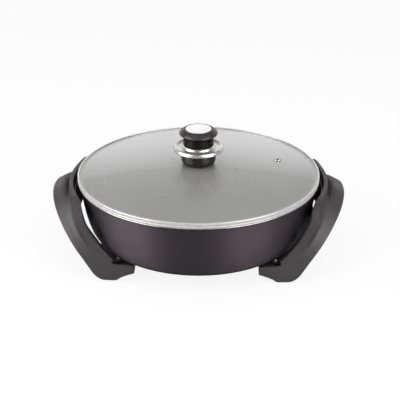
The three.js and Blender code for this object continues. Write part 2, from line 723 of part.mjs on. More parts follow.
// A curved shield on the inside of the ridge keeps the pan's heat from the fingers
const shieldProfile = [
  [SHIELD_BOTTOM_RADIUS, SHIELD_BOTTOM_Z],
  [SHIELD_BOTTOM_RADIUS + SHIELD_SHEET, SHIELD_BOTTOM_Z],
  [SHIELD_TOP_RADIUS + SHIELD_SHEET, SHIELD_TOP_Z],
  [SHIELD_TOP_RADIUS, SHIELD_TOP_Z],
];
const rightShield = loft(steps(-SHIELD_HALF_ANGLE, SHIELD_HALF_ANGLE, 8).map((degrees) => {
  const angle = THREE.MathUtils.degToRad(degrees);
  return shieldProfile.map(([radius, z]) => {
    return new THREE.Vector3(radius * Math.cos(angle), radius * Math.sin(angle), z);
  });
}));

// Bars that join the front and rear feet, parted on the right by the socket
const tieOutline = new THREE.Shape([
  new THREE.Vector2(TIE_INNER_X, TIE_TOP_Z),
  new THREE.Vector2(TIE_INNER_X, TIE_BOTTOM_Z + 2),
  new THREE.Vector2(TIE_INNER_X + 2, TIE_BOTTOM_Z),
  new THREE.Vector2(TIE_OUTER_X - 7, TIE_BOTTOM_Z),
  new THREE.Vector2(TIE_OUTER_X, TIE_TOP_Z - 2),
  new THREE.Vector2(TIE_OUTER_X - 1, TIE_TOP_Z),
]);

function footTie(from, to) {
  const bar = new THREE.ExtrudeGeometry(tieOutline, { depth: to - from, bevelEnabled: false });
  return weld(bar.rotateX(Math.PI / 2).translate(0, to, 0));
}

function mirrored(geometry) {
  return weld(geometry.clone().scale(-1, 1, 1));
}

add('right_handle', rightHandle, satinPlastic);
add('left_handle', mirrored(rightHandle), satinPlastic);
add('right_grip_plate', rightPlate, satinPlastic);
add('left_grip_plate', mirrored(rightPlate), satinPlastic);
add('right_heat_shield', rightShield, satinPlastic);
add('left_heat_shield', mirrored(rightShield), satinPlastic);
add('left_foot_tie', mirrored(footTie(-TIE_END_Y, TIE_END_Y)), satinPlastic);
add('right_foot_tie_front', footTie(-TIE_END_Y, -SOCKET_HALF_WIDTH - GAP), satinPlastic);
add('right_foot_tie_rear', footTie(SOCKET_HALF_WIDTH + GAP, TIE_END_Y), satinPlastic);

[['left', -1], ['right', 1]].forEach(([sideName, side]) => {
  [['front', -1], ['rear', 1]].forEach(([endName, end]) => {
    const x = side * TOE_SCREW_X;
    const y = end * TOE_SCREW_Y;
    const place = `${sideName}_${endName}`;
    const spacer = uprightRod(SPACER_RADIUS, TOE_TOP_Z + 3 * GAP, SPACER_TOP_Z, x, y);
    const spacerHole = uprightRod(SCREW_RADIUS + GAP, 0, 30, x, y);
    add(`toe_spacer_${place}`, cut(spacer, [spacerHole]), steel);
    add(`toe_screw_${place}`, screw(x, y, 8.6, BOSS_HOLE_TOP_Z - GAP), steel);
    const pad = turned([
      [0, 0],
      [PAD_RADIUS - 0.8, 0],
      [PAD_RADIUS, 0.6],
      [PAD_RADIUS, SOLE_Z - GAP],
      [0, SOLE_Z - GAP],
    ], 16).translate(side * PAD_X, end * PAD_Y, 0);
    add(`foot_pad_${place}`, pad, rubber);
    const plateScrew = turned([
      [0, COVER_PLATE_Z - 2.2],
      [2.6, COVER_PLATE_Z - 1.6],
      [2.6, COVER_PLATE_Z - GAP],
      [PLATE_SCREW_RADIUS, COVER_PLATE_Z - GAP],
      [PLATE_SCREW_RADIUS, PLATE_SCREW_TIP_Z - 1],
      [0, PLATE_SCREW_TIP_Z],
    ], BOLT_SIDES).translate(side * COVER_PLATE_SCREW_X, end * COVER_PLATE_SCREW_Y, 0);
    add(`grip_screw_${place}`, plateScrew, steel);
  });
});

// Lid glass: a shallow dome with a bent edge that the steel band holds
const domeRise = GLASS_CROWN_Z - GLASS_EDGE_TOP_Z;
function domeZ(radius) {
  const share = Math.min(1, radius / GLASS_BEND_RADIUS);
  return GLASS_EDGE_TOP_Z + domeRise * (1 - share ** 2.2);
}
const domeRadii = [0, 25, 55, 85, 112, 133, GLASS_BEND_RADIUS];
const glassTop = domeRadii.map((radius) => [radius, domeZ(radius)]);
const glassEdge = LID_RADIUS - BAND_SHEET - GAP;
const glassUnder = domeRadii.slice().reverse().map((radius) => [radius, domeZ(radius) - GLASS]);
const dome = turned([
  ...glassTop,
  [glassEdge, GLASS_EDGE_TOP_Z],
  [glassEdge, GLASS_EDGE_TOP_Z - GLASS],
  ...glassUnder,
], PAN_SIDES);
const VENT_HOLE = 3.4;
const studHole = uprightRod(KNOB_STUD_RADIUS + GAP, 100, 140);
const ventHole = uprightRod(VENT_HOLE, 100, 140, VENT_X, VENT_Y, 16);
add('glass_lid', cut(dome, [studHole, ventHole]), glass);

// Lid band: bent sheet that wraps the glass edge, with a skirt that centres it in the pan
const bandFloorTop = GLASS_EDGE_TOP_Z - GLASS - GAP;
add('lid_rim_band', turnedRing([
  [SKIRT_RADIUS - BAND_SHEET, BAND_BOTTOM_Z - SKIRT_DEPTH],
  [SKIRT_RADIUS, BAND_BOTTOM_Z - SKIRT_DEPTH],
  [SKIRT_RADIUS, BAND_BOTTOM_Z],
  [LID_RADIUS - 0.7, BAND_BOTTOM_Z],
  [LID_RADIUS, BAND_BOTTOM_Z + 0.7],
  [LID_RADIUS, BAND_TOP_Z - 0.9],
  [LID_RADIUS - 0.9, BAND_TOP_Z],
  [LID_RADIUS - BAND_LIP, BAND_TOP_Z],
  [LID_RADIUS - BAND_LIP, BAND_TOP_Z - BAND_SHEET],
  [LID_RADIUS - BAND_SHEET, BAND_TOP_Z - BAND_SHEET],
  [LID_RADIUS - BAND_SHEET, bandFloorTop],
  [SKIRT_RADIUS - BAND_SHEET, bandFloorTop],
], PAN_SIDES), steel);

// Steam vent: a flanged eyelet through the glass, square to the dome there
const ventDistance = Math.hypot(VENT_X, VENT_Y);
const ventSlope = Math.atan2(domeZ(ventDistance - 5) - domeZ(ventDistance + 5), 10);
const eyelet = turnedRing([
  [1.6, 1.5],
  [3.4, 1.8],
  [4.6, 1],
  [4.6, 2 * GAP],
  [VENT_HOLE - 0.7, 2 * GAP],
  [VENT_HOLE - 0.7, -GLASS - 2 * GAP],
  [4.4, -GLASS - 2 * GAP],
  [4.4, -GLASS - 1.5],
  [1.6, -GLASS - 1.5],
], 16).rotateY(ventSlope).rotateZ(Math.atan2(VENT_Y, VENT_X));
add('steam_vent_eyelet', eyelet.translate(VENT_X, VENT_Y, domeZ(ventDistance)), steel);

// Knob, from the glass upwards, and the screw that holds it from below
const glassCrownUnder = GLASS_CROWN_Z - GLASS;
const knobHole = uprightRod(KNOB_STUD_RADIUS + GAP, 100, 160);
add('knob_seal', turnedRing([
  [KNOB_STUD_RADIUS + GAP, GLASS_CROWN_Z + 0.1],
  [15, GLASS_CROWN_Z + 0.1],
  [15, GLASS_CROWN_Z + 1],
  [KNOB_STUD_RADIUS + GAP, GLASS_CROWN_Z + 1],
], KNOB_SIDES), silicone);
const knobFootZ = GLASS_CROWN_Z + 1.2;
add('knob_base', cut(turned([
  [0, knobFootZ],
  [KNOB_FOOT_RADIUS, knobFootZ],
  [KNOB_BASE_TOP_RADIUS - 1, knobFootZ + 2.2],
  [KNOB_BASE_TOP_RADIUS - 0.2, knobFootZ + 6],
  [KNOB_BASE_TOP_RADIUS, KNOB_BASE_TOP_Z],
  [0, KNOB_BASE_TOP_Z],
], KNOB_SIDES), [knobHole]), glossPlastic);
const guardTopZ = NECK_BOTTOM_Z - GAP;
add('knob_guard', turnedRing([
  [KNOB_STUD_RADIUS + GAP, KNOB_BASE_TOP_Z + GAP],
  [KNOB_BASE_TOP_RADIUS + 2, KNOB_BASE_TOP_Z + GAP],
  [GUARD_RADIUS - 1.6, GUARD_Z - 1],
  [GUARD_RADIUS, GUARD_Z],
  [GUARD_RADIUS, GUARD_Z + 1.8],
  [GUARD_RADIUS - 1.2, GUARD_RIM_TOP_Z - 0.8],
  [GUARD_RADIUS - 2.6, GUARD_RIM_TOP_Z],
  [GUARD_RADIUS - 4.2, GUARD_RIM_TOP_Z - 0.7],
  [GUARD_RADIUS - 7.5, GUARD_RIM_TOP_Z - 2.4],
  [NECK_RADIUS + 2.6, GUARD_RIM_TOP_Z - 1.4],
  [NECK_RADIUS + 1.6, guardTopZ - 0.7],
  [NECK_RADIUS - 0.4, guardTopZ],
  [KNOB_STUD_RADIUS + GAP, guardTopZ],
], KNOB_SIDES), chrome);
add('knob_neck', cut(turned([
  [0, NECK_BOTTOM_Z],
  [NECK_RADIUS + 0.4, NECK_BOTTOM_Z],
  [NECK_RADIUS, NECK_BOTTOM_Z + 1.5],
  [NECK_RADIUS - 0.6, NECK_BOTTOM_Z + 7],
  [NECK_RADIUS, CAP_LIP_Z - GAP],
  [0, CAP_LIP_Z - GAP],
], KNOB_SIDES), [knobHole]), glossPlastic);
const capRecess = uprightRod(INLAY_RADIUS + GAP, CAP_TOP_Z - 1, CAP_TOP_Z + 2, 0, 0, KNOB_SIDES);
add('knob_cap', cut(turned([
  [0, CAP_LIP_Z],
  [CAP_RADIUS - 1.6, CAP_LIP_Z],
  [CAP_RADIUS - 0.2, CAP_LIP_Z + 0.8],
  [CAP_RADIUS, CAP_LIP_Z + 2],
  [CAP_RADIUS - 1, CAP_LIP_Z + 4],
  [CAP_RADIUS - 4, CAP_TOP_Z - 1.6],
  [INLAY_RADIUS + 1.4, CAP_TOP_Z],
  [0, CAP_TOP_Z],
], KNOB_SIDES), [capRecess]), glossPlastic);
add('knob_inlay', turned([
  [0, CAP_TOP_Z - 1 + GAP],
  [INLAY_RADIUS, CAP_TOP_Z - 1 + GAP],
  [INLAY_RADIUS, CAP_TOP_Z + 0.2],
  [INLAY_RADIUS - 2, INLAY_TOP_Z - 0.3],
  [0, INLAY_TOP_Z],
], KNOB_SIDES), chrome);
const washerTop = glassCrownUnder - GAP;
add('knob_washer', turnedRing([
  [KNOB_STUD_RADIUS + GAP, washerTop - 1.5],
  [8, washerTop - 1.5],
  [8, washerTop],
  [KNOB_STUD_RADIUS + GAP, washerTop],
], 16), steel);
const studHeadTop = washerTop - 1.5 - GAP;
add('knob_screw', turned([
  [0, studHeadTop - 3],
  [4, studHeadTop - 2.4],
  [5, studHeadTop - 1],
  [5, studHeadTop],
  [KNOB_STUD_RADIUS, studHeadTop],
  [KNOB_STUD_RADIUS, STUD_TIP_Z - 1],
  [KNOB_STUD_RADIUS - 1, STUD_TIP_Z],
  [0, STUD_TIP_Z],
], BOLT_SIDES), steel);

export default skillet;
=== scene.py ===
"""An electric skillet under its lift-off glass lid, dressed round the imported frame.

Shapes are worked out here in millimetres, in the frame's own axes, as numpy grids: a profile
turned about an axis, or a ring of rail points carried along the arch of a handle. They are
scaled to metres when a mesh is made. Every piece sits at the origin, with its place in its mesh.
"""

import math

import bmesh
import bpy
import numpy as np
from mathutils import Matrix, Vector


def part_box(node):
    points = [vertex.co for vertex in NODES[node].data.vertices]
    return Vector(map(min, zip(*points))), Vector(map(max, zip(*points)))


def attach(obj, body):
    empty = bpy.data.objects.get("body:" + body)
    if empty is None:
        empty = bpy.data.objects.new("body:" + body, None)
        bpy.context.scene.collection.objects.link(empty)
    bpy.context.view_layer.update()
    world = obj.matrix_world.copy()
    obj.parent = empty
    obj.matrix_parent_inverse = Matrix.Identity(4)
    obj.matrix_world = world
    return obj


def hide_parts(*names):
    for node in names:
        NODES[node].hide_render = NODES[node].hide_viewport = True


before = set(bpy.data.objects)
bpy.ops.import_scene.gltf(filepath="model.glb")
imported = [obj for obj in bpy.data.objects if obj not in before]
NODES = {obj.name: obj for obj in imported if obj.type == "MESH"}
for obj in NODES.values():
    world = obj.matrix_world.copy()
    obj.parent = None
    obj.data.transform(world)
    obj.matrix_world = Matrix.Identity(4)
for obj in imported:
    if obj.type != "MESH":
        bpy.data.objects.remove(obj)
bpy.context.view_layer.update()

MM = 0.001

# Driving sizes in mm, most of them read from the frame


def node_box(node):
    """The node's lowest and highest corner, in mm."""
    low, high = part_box(node)
    return np.array(low) / MM, np.array(high) / MM


PAN_HIGH = node_box("pan")[1]
BAND_LOW, BAND_HIGH = node_box("lid_rim_band")
GLASS_HIGH = node_box("glass_lid")[1]
GRIP_HIGH = node_box("right_handle")[1]

PAN_RIM_Z = PAN_HIGH[2]
PAN_BASE_Z = 24.0
LID_RADIUS = BAND_HIGH[0]
BAND_TOP_Z = BAND_HIGH[2]
GLASS_CROWN_Z = GLASS_HIGH[2]
RIDGE_TOP_Z = GRIP_HIGH[2]
GRIP_REACH = GRIP_HIGH[0]


# Grids, outlines and meshes


def catmull(points, steps, closed=False):
    """Uniform Catmull-Rom curve through points along axis 0, with steps spans between neighbours.

    Each span is the cubic whose end slopes are half the chord from the point before to the
    point after; the outer neighbours of an open curve are mirrored through its end points.
    """
    points = np.asarray(points, float)
    if closed:
        before = np.roll(points, 1, axis=0)
        after = np.roll(points, -1, axis=0)
        beyond = np.roll(points, -2, axis=0)
        start = points
    else:
        first = 2 * points[:1] - points[1:2]
        last = 2 * points[-1:] - points[-2:-1]
        row = np.concatenate([first, points, last])
        before, start, after, beyond = row[:-3], row[1:-2], row[2:-1], row[3:]
    t = (np.arange(steps) / steps).reshape(1, steps, *([1] * (points.ndim - 1)))
    p0, p1, p2, p3 = (p[:, None] for p in (before, start, after, beyond))
    curve = 0.5 * (
        2 * p1
        + (p2 - p0) * t
        + (2 * p0 - 5 * p1 + 4 * p2 - p3) * t**2
        + (3 * p1 - p0 - 3 * p2 + p3) * t**3
    )
    curve = curve.reshape(-1, *points.shape[1:])
    return curve if closed else np.concatenate([curve, points[-1:]])


def rounded(corners, radius, steps=5, closed=True):
    """Outline whose corners are eased over radius: each corner becomes a parabola arc.

    The arc starts and ends at radius (or 45% of the side, if that is shorter) from the corner,
    with the corner itself as its middle control point.
    """
    corners = np.asarray(corners, float)
    radius = np.broadcast_to(np.asarray(radius, float), len(corners))[:, None]
    to_last = np.roll(corners, 1, axis=0) - corners
    to_next = np.roll(corners, -1, axis=0) - corners
    last_length = np.linalg.norm(to_last, axis=1, keepdims=True)
    next_length = np.linalg.norm(to_next, axis=1, keepdims=True)
    start = corners + to_last / last_length * np.minimum(radius, 0.45 * last_length)
    end = corners + to_next / next_length * np.minimum(radius, 0.45 * next_length)
    t = np.linspace(0, 1, steps + 1)[None, :, None]
    arcs = (1 - t) ** 2 * start[:, None] + 2 * t * (1 - t) * corners[:, None] + t**2 * end[:, None]
    if not closed:
        arcs[0] = corners[0]
        arcs[-1] = corners[-1]
    return arcs.reshape(-1, 2)


def grid_faces(rows, columns, wrap_rows, wrap_columns):
    """Quads that join each point of a rows by columns grid to the next row and column."""
    row = np.arange(rows if wrap_rows else rows - 1)[:, None]
    column = np.arange(columns if wrap_columns else columns - 1)[None, :]
    next_row = (row + 1) % rows
    next_column = (column + 1) % columns
    corners = [
        row * columns + column,
        row * columns + next_column,
        next_row * columns + next_column,
        next_row * columns + column,
    ]
    return np.stack(corners, axis=-1).reshape(-1, 4)


def raw_mesh(name, points, faces):
    """Mesh of points given in mm."""
    mesh = bpy.data.meshes.new(name)
    mesh.from_pydata((np.asarray(points) * MM).tolist(), [], [list(face) for face in faces])
    return mesh


def tidy_mesh(mesh, smooth_degrees=38):
    """Merges doubles, drops empty faces, turns the faces outwards and sets the shading."""
    work = bmesh.new()
    work.from_mesh(mesh)
    bmesh.ops.remove_doubles(work, verts=work.verts, dist=2e-6)
    bmesh.ops.dissolve_degenerate(work, edges=work.edges, dist=1e-7)
    bmesh.ops.recalc_face_normals(work, faces=work.faces)
    work.to_mesh(mesh)
    work.free()
    mesh.shade_smooth()
    mesh.set_sharp_from_angle(angle=math.radians(smooth_degrees))
    return mesh


def link(name, mesh):
    piece = bpy.data.objects.new(name, mesh)
    bpy.context.scene.collection.objects.link(piece)
    return piece


def dress(piece, body, materials, nodes=()):
    """Gives a finished piece its materials and body, and hides the CAD nodes it stands for."""
    for material in materials if isinstance(materials, (list, tuple)) else [materials]:
        piece.data.materials.append(material)
    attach(piece, body)
    if nodes:
        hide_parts(*nodes)
    return piece


def turned_points(profile, segments, place=(0, 0)):
    """A profile of (radius, z) turned about the upright axis at place."""
    profile = np.asarray(profile, float)
    angle = np.arange(segments) * (2 * np.pi / segments)
    radius = profile[:, 0][:, None]
    return np.stack(
        [
            place[0] + radius * np.cos(angle),
            place[1] + radius * np.sin(angle),
            np.broadcast_to(profile[:, 1][:, None], (len(profile), segments)),
        ],
        axis=-1,
    )


def turned_mesh(name, profile, segments=96, place=(0, 0), ring=False, smooth_degrees=38):
    """Solid of revolution: an open profile starts and ends on the axis, a ring's closes on itself."""
    points = turned_points(profile, segments, place)
    faces = grid_faces(len(points), segments, ring, True)
    return tidy_mesh(raw_mesh(name, points.reshape(-1, 3), faces), smooth_degrees)


def loft_mesh(name, rings):
    """Skin over closed rings of points, with each end closed by one face."""
    rings = np.asarray(rings, float)
    count = rings.shape[1]
    faces = grid_faces(len(rings), count, False, True).tolist()
    faces.append(list(range(count)))
    faces.append(list(range((len(rings) - 1) * count, len(rings) * count)))
    return tidy_mesh(raw_mesh(name, rings.reshape(-1, 3), faces))


def turn_to_x(mesh, y, z):
    """Lays an upright turned mesh along +X at the given y and z, in mm."""
    mesh.transform(Matrix.Translation(Vector((0, y, z)) * MM) @ Matrix.Rotation(math.pi / 2, 4, "Y"))
    return mesh


def bar_mesh(half_width, half_depth, low, high, place):
    """Upright bar: the same rectangle about place at two heights."""
    corners = np.array([[-1, -1], [1, -1], [1, 1], [-1, 1]]) * [half_width, half_depth] + place
    return loft_mesh("bar", [[[x, y, z] for x, y in corners] for z in (low, high)])


def mirrored_mesh(mesh, name):
    """The same mesh on the other side of the YZ plane, with its faces turned back outwards."""
    copy = mesh.copy()
    copy.name = name
    copy.transform(Matrix.Diagonal((-1, 1, 1, 1)))
    copy.flip_normals()
    return copy


def joined_mesh(meshes):
    """One mesh of several that don't touch."""
    work = bmesh.new()
    for mesh in meshes:
        work.from_mesh(mesh)
    joined = bpy.data.meshes.new("joined")
    work.to_mesh(joined)
    work.free()
    return joined


def carved(mesh, cutters):
    """The mesh with each cutter mesh cut away from it, one after another."""
    body = link("carving", mesh)
    tools = []
    for cutter in cutters:
        tool = link("cutter", cutter)
        modifier = body.modifiers.new("carve", "BOOLEAN")
        modifier.operation = "DIFFERENCE"
        modifier.solver = "MANIFOLD"
        modifier.object = tool
        tools.append(tool)
    graph = bpy.context.evaluated_depsgraph_get()
    result = bpy.data.meshes.new_from_object(body.evaluated_get(graph))
    result.materials.clear()
    for item in [body, *tools]:
        bpy.data.objects.remove(item)
    return tidy_mesh(result)


def rod_mesh(radius, low, high, place):
    """Upright cylinder about place: a rectangle turned about its side."""
    return turned_mesh("rod", [[0, low], [radius, low], [radius, high], [0, high]], 32, place)


# Materials


class Finish:
    """A node material in the making, with short calls for the nodes that the finishes share."""

    def __init__(self, name):
        self.material = bpy.data.materials.new(name)
        self.material.use_nodes = True
        self.nodes = self.material.node_tree.nodes
        self.links = self.material.node_tree.links
        self.shader = self.nodes["Principled BSDF"]
        self.place = self.nodes.new("ShaderNodeTexCoord").outputs["Object"]

    def set(self, **values):
        for label, value in values.items():
            self.shader.inputs[label.replace("_", " ")].default_value = value
        return self

    def node(self, kind, **settings):
        made = self.nodes.new(kind)
        for label, value in settings.items():
            if label in made.inputs:
                made.inputs[label].default_value = value
            else:
                setattr(made, label, value)
        return made

    def join(self, output, target):
        self.links.new(output, target)

    def scaled(self, scale):
        mapping = self.node("ShaderNodeMapping")
        mapping.inputs["Scale"].default_value = scale
        self.join(self.place, mapping.inputs["Vector"])
        return mapping.outputs["Vector"]

    def noise(self, scale, detail=3.0, stretch=(1, 1, 1)):
        made = self.node("ShaderNodeTexNoise", Scale=scale, Detail=detail)
        self.join(self.scaled(stretch), made.inputs["Vector"])
        return made.outputs["Fac"]

    def ramp(self, value, stops):
        made = self.node("ShaderNodeValToRGB")
        elements = made.color_ramp.elements
        while len(elements) < len(stops):
            elements.new(0.5)
        for element, (position, color) in zip(elements, stops):
            element.position = position
            element.color = (*color, 1)
        self.join(value, made.inputs["Fac"])
        return made.outputs["Color"]

    def spread(self, value, low, high, start=0.3, end=0.7):
        made = self.node("ShaderNodeMapRange")
        for label, number in (("From Min", start), ("From Max", end), ("To Min", low), ("To Max", high)):
            made.inputs[label].default_value = number
        self.join(value, made.inputs["Value"])
        return made.outputs["Result"]

    def turned_away(self):
        """0 where the surface faces the eye, 1 where it is seen edge on."""
        return self.node("ShaderNodeLayerWeight", Blend=0.5).outputs["Facing"]

    def color(self, output):
        self.join(output, self.shader.inputs["Base Color"])
        return self

    def roughness(self, output):
        self.join(output, self.shader.inputs["Roughness"])
        return self

    def bump(self, value, strength, distance):
        """Adds a bump on top of those already made."""
        made = self.node("ShaderNodeBump", Strength=strength, Distance=distance)
        self.join(value, made.inputs["Height"])
        normal = self.shader.inputs["Normal"]
        if normal.links:
            self.join(normal.links[0].from_socket, made.inputs["Normal"])
        self.join(made.outputs["Normal"], normal)
        return self


def coated_metal(name, dark, light, roughness):
    """Satin non-stick coating over spun metal: fine speckle, and a sheen drawn out up the wall."""
    finish = Finish(name)
    speckle = finish.noise(1400, 2)
    finish.color(finish.ramp(speckle, [(0.36, dark), (0.66, light)]))
    finish.roughness(finish.spread(finish.noise(60), roughness - 0.04, roughness + 0.04))
    finish.bump(finish.noise(900, 2), 0.06, 0.0002)
    around = finish.node("ShaderNodeTangent", direction_type="RADIAL", axis="Z")
    finish.join(around.outputs["Tangent"], finish.shader.inputs["Tangent"])
    finish.set(Anisotropic=0.84, Anisotropic_Rotation=0.25, IOR=1.68, Specular_Tint=(1, 0.84, 0.97, 1))
    gloss = finish.spread(finish.turned_away(), 1.0, 0.2, 0.55, 0.9)
    finish.join(gloss, finish.shader.inputs["Specular IOR Level"])
    return finish.material


def moulded_plastic(name, dark, light, roughness):
    """Spark-eroded satin moulding: fine pebble grain with a slow drift in tone."""
    finish = Finish(name)
    finish.color(finish.ramp(finish.noise(14, 4), [(0.3, dark), (0.7, light)]))
    finish.roughness(finish.spread(finish.noise(260), roughness - 0.05, roughness + 0.07))
    finish.bump(finish.noise(1700, 2), 0.16, 0.0002)
    finish.bump(finish.noise(40, 2), 0.04, 0.001)
    return finish.material


def gloss_phenolic(name, dark, light, gloss=0.5):
    """Polished phenolic: near black, with a faint polishing haze in its roughness."""
    finish = Finish(name)
    finish.color(finish.ramp(finish.noise(90, 3), [(0.3, dark), (0.7, light)]))
    finish.roughness(finish.spread(finish.noise(300), 0.22, 0.3))
    finish.bump(finish.noise(70, 2), 0.02, 0.0006)
    finish.set(Specular_IOR_Level=gloss)
    return finish.material


def metal(
    name, dark, light, rough_low, rough_high, stretch=(1, 1, 1), scale=700, grain=0.06, metallic=1.0
):
    """Bare metal whose tone, roughness and fine grain follow one stretched noise."""
    finish = Finish(name)
    grain_noise = finish.noise(scale, 3, stretch)
    finish.color(finish.ramp(grain_noise, [(0.3, dark), (0.7, light)]))
    finish.roughness(finish.spread(grain_noise, rough_low, rough_high))
    finish.bump(grain_noise, grain, 0.0002)
    finish.set(Metallic=metallic)
    return finish.material


def mineral(name, dark, light, roughness, scale=300):
    """Unglazed ceramic, rubber or silicone: matt, with a fine grain."""
    finish = Finish(name)
    finish.color(finish.ramp(finish.noise(scale, 3), [(0.3, dark), (0.7, light)]))
    finish.roughness(finish.spread(finish.noise(scale), roughness - 0.06, roughness + 0.06))
    finish.bump(finish.noise(scale * 4, 2), 0.2, 0.0002)
    return finish.material


def tempered_glass(name):
    """Smoky glass: part clear, part a pale haze that takes the light, with a softened mirror image."""
    finish = Finish(name)
    haze = [(0.3, (0.385, 0.383, 0.378)), (0.7, (0.43, 0.428, 0.423))]
    finish.color(finish.ramp(finish.noise(8, 2), haze))
    finish.roughness(finish.spread(finish.noise(30), 0.26, 0.3))
    finish.set(Transmission_Weight=0.45, IOR=1.5, Coat_Weight=1.0, Coat_Roughness=0.36)
    mirror = finish.spread(finish.turned_away(), 1.6, 30.0, 0.585, 0.735)
    finish.join(mirror, finish.shader.inputs["Coat IOR"])
    return finish.material


COATING = coated_metal("pan_coating", (0.007, 0.006, 0.008), (0.012, 0.0104, 0.0134), 0.5)
BARE_RIM = metal("bare_aluminium_rim", (0.72, 0.71, 0.69), (0.86, 0.85, 0.83), 0.2, 0.34, (1, 1, 12))
PLASTIC = moulded_plastic("handle_plastic", (0.047, 0.041, 0.044), (0.059, 0.051, 0.055), 0.42)
CAP_PHENOLIC = gloss_phenolic("knob_cap_phenolic", (0.032, 0.028, 0.028), (0.042, 0.037, 0.037))
PHENOLIC = gloss_phenolic("knob_phenolic", (0.009, 0.008, 0.008), (0.016, 0.014, 0.014), 0.4)
# The neck's phenolic is its own black, darkened further than the foot's with painted shade for its recess
# between the cap and the guard
NECK_PHENOLIC_PAINTED_SHADE = gloss_phenolic("knob_neck_phenolic_painted_shade", (0.004, 0.0032, 0.0028), (0.008, 0.0066, 0.006), 0.2)
CHROME = metal(
    "knob_chrome", (0.9, 0.88, 0.855), (0.95, 0.93, 0.905), 0.25, 0.3, grain=0.005, metallic=0.95
)
INLAY = metal(
    "knob_inlay_metal", (0.9, 0.9, 0.92), (0.95, 0.95, 0.96), 0.26, 0.34, (1, 14, 1), metallic=0.35
)
STEEL = metal("stainless_steel", (0.66, 0.66, 0.65), (0.8, 0.8, 0.79), 0.14, 0.26, (1, 1, 14))
BAND_STEEL = metal(
    "satin_band_steel", (0.78, 0.765, 0.755), (0.85, 0.835, 0.825), 0.3, 0.36,
    scale=300, grain=0.0, metallic=0.6,
)
ZINC = metal("zinc_plated_screws", (0.5, 0.51, 0.52), (0.66, 0.67, 0.68), 0.28, 0.42)
PRESSED = metal("pressed_steel_sheet", (0.42, 0.42, 0.42), (0.56, 0.56, 0.55), 0.32, 0.5, (1, 12, 1))
SHEATH = metal("element_sheath", (0.2, 0.19, 0.17), (0.34, 0.31, 0.27), 0.4, 0.6)
CAST = metal("cast_aluminium", (0.45, 0.46, 0.47), (0.6, 0.61, 0.62), 0.4, 0.6, scale=300, grain=0.2)
CERAMIC = mineral("pin_ceramic", (0.7, 0.67, 0.6), (0.8, 0.78, 0.72), 0.6)
RUBBER = mineral("foot_rubber", (0.02, 0.02, 0.021), (0.034, 0.034, 0.035), 0.85)
SILICONE = mineral("seal_silicone", (0.3, 0.3, 0.3), (0.42, 0.42, 0.42), 0.5)
GLASS = tempered_glass("lid_glass")


# Pan: one casting, coated but for its machined rim

PAN_RING_Z = 22.6
WALL_TOP_RADIUS = 157.5
WALL_CONTROL = np.array([
    [117, PAN_RING_Z], [147, PAN_RING_Z], [151, 59], [WALL_TOP_RADIUS, PAN_RIM_Z - 3.5],
])
PAN_WALL = 3.0
PAN_FLOOR_Z = PAN_BASE_Z + 4
PAN_SEGMENTS = 180
RIM_OUTER_RADIUS = 159.4
RIM_INNER_RADIUS = 154.6
RIM_BARE_Z = PAN_RIM_Z - 0.4


def wall_profile(inset, steps=40):
    """The wall's outside as (radius, z), a cubic Bezier, or the same curve moved inwards.

    The shift is square to the curve: its tangent turned by a quarter, times inset.
    """
    t = np.linspace(0, 1, steps + 1)[:, None]
    a, b, c, d = WALL_CONTROL
    point = (1 - t) ** 3 * a + 3 * (1 - t) ** 2 * t * b + 3 * (1 - t) * t**2 * c + t**3 * d
    slope = 3 * (1 - t) ** 2 * (b - a) + 6 * (1 - t) * t * (c - b) + 3 * t**2 * (d - c)
    slope /= np.linalg.norm(slope, axis=1, keepdims=True)
    return point + inset * np.stack([-slope[:, 1], slope[:, 0]], axis=1)


def make_pan():
    """Cast dish: base recess, wall, a rim that steps outwards, and the inside down to a flat floor."""
    inside = wall_profile(PAN_WALL)
    inside = inside[inside[:, 1] > PAN_FLOOR_Z + 1]
    rim = rounded(
        [
            [WALL_TOP_RADIUS, PAN_RIM_Z - 3.4], [RIM_OUTER_RADIUS, PAN_RIM_Z - 2.6],
            [RIM_OUTER_RADIUS, PAN_RIM_Z], [RIM_INNER_RADIUS, PAN_RIM_Z], [RIM_INNER_RADIUS - 0.1, 100],
        ],
        [0.4, 0.8, 0.8, 0.8, 0.5],
        closed=False,
    )
    floor = [[radius, PAN_FLOOR_Z] for radius in (124, 60, 0)]
    base = [[0, PAN_BASE_Z], [97, PAN_BASE_Z], [98.6, PAN_RING_Z]]
    profile = np.concatenate([base, wall_profile(0), rim, inside[::-1], floor])
    return turned_mesh("pan", profile, PAN_SEGMENTS)


pan = link("pan_casting", make_pan())
dress(pan, "base", [COATING, BARE_RIM], ["pan"])
heights = np.array([polygon.center.z for polygon in pan.data.polygons]) / MM
pan.data.polygons.foreach_set("material_index", (heights > RIM_BARE_Z).astype(np.int32))


# Lid: glass dome, wrapped steel band, steam vent

GLASS_THICKNESS = 4.0
GLASS_EDGE_TOP_Z = BAND_TOP_Z - 1.3
GLASS_BEND_RADIUS = 153.0
GLASS_EDGE_RADIUS = LID_RADIUS - 1.3
VENT_PLACE = np.array([105.5, 25.0])
VENT_HOLE_RADIUS = 3.4
KNOB_HOLE_RADIUS = 2.8


def dome_z(radius):
    """Height of the glass's top: a crown that falls as the 2.2nd power, level past the bend."""
    share = np.minimum(1, np.asarray(radius, float) / GLASS_BEND_RADIUS)
    return GLASS_EDGE_TOP_Z + (GLASS_CROWN_Z - GLASS_EDGE_TOP_Z) * (1 - share**2.2)


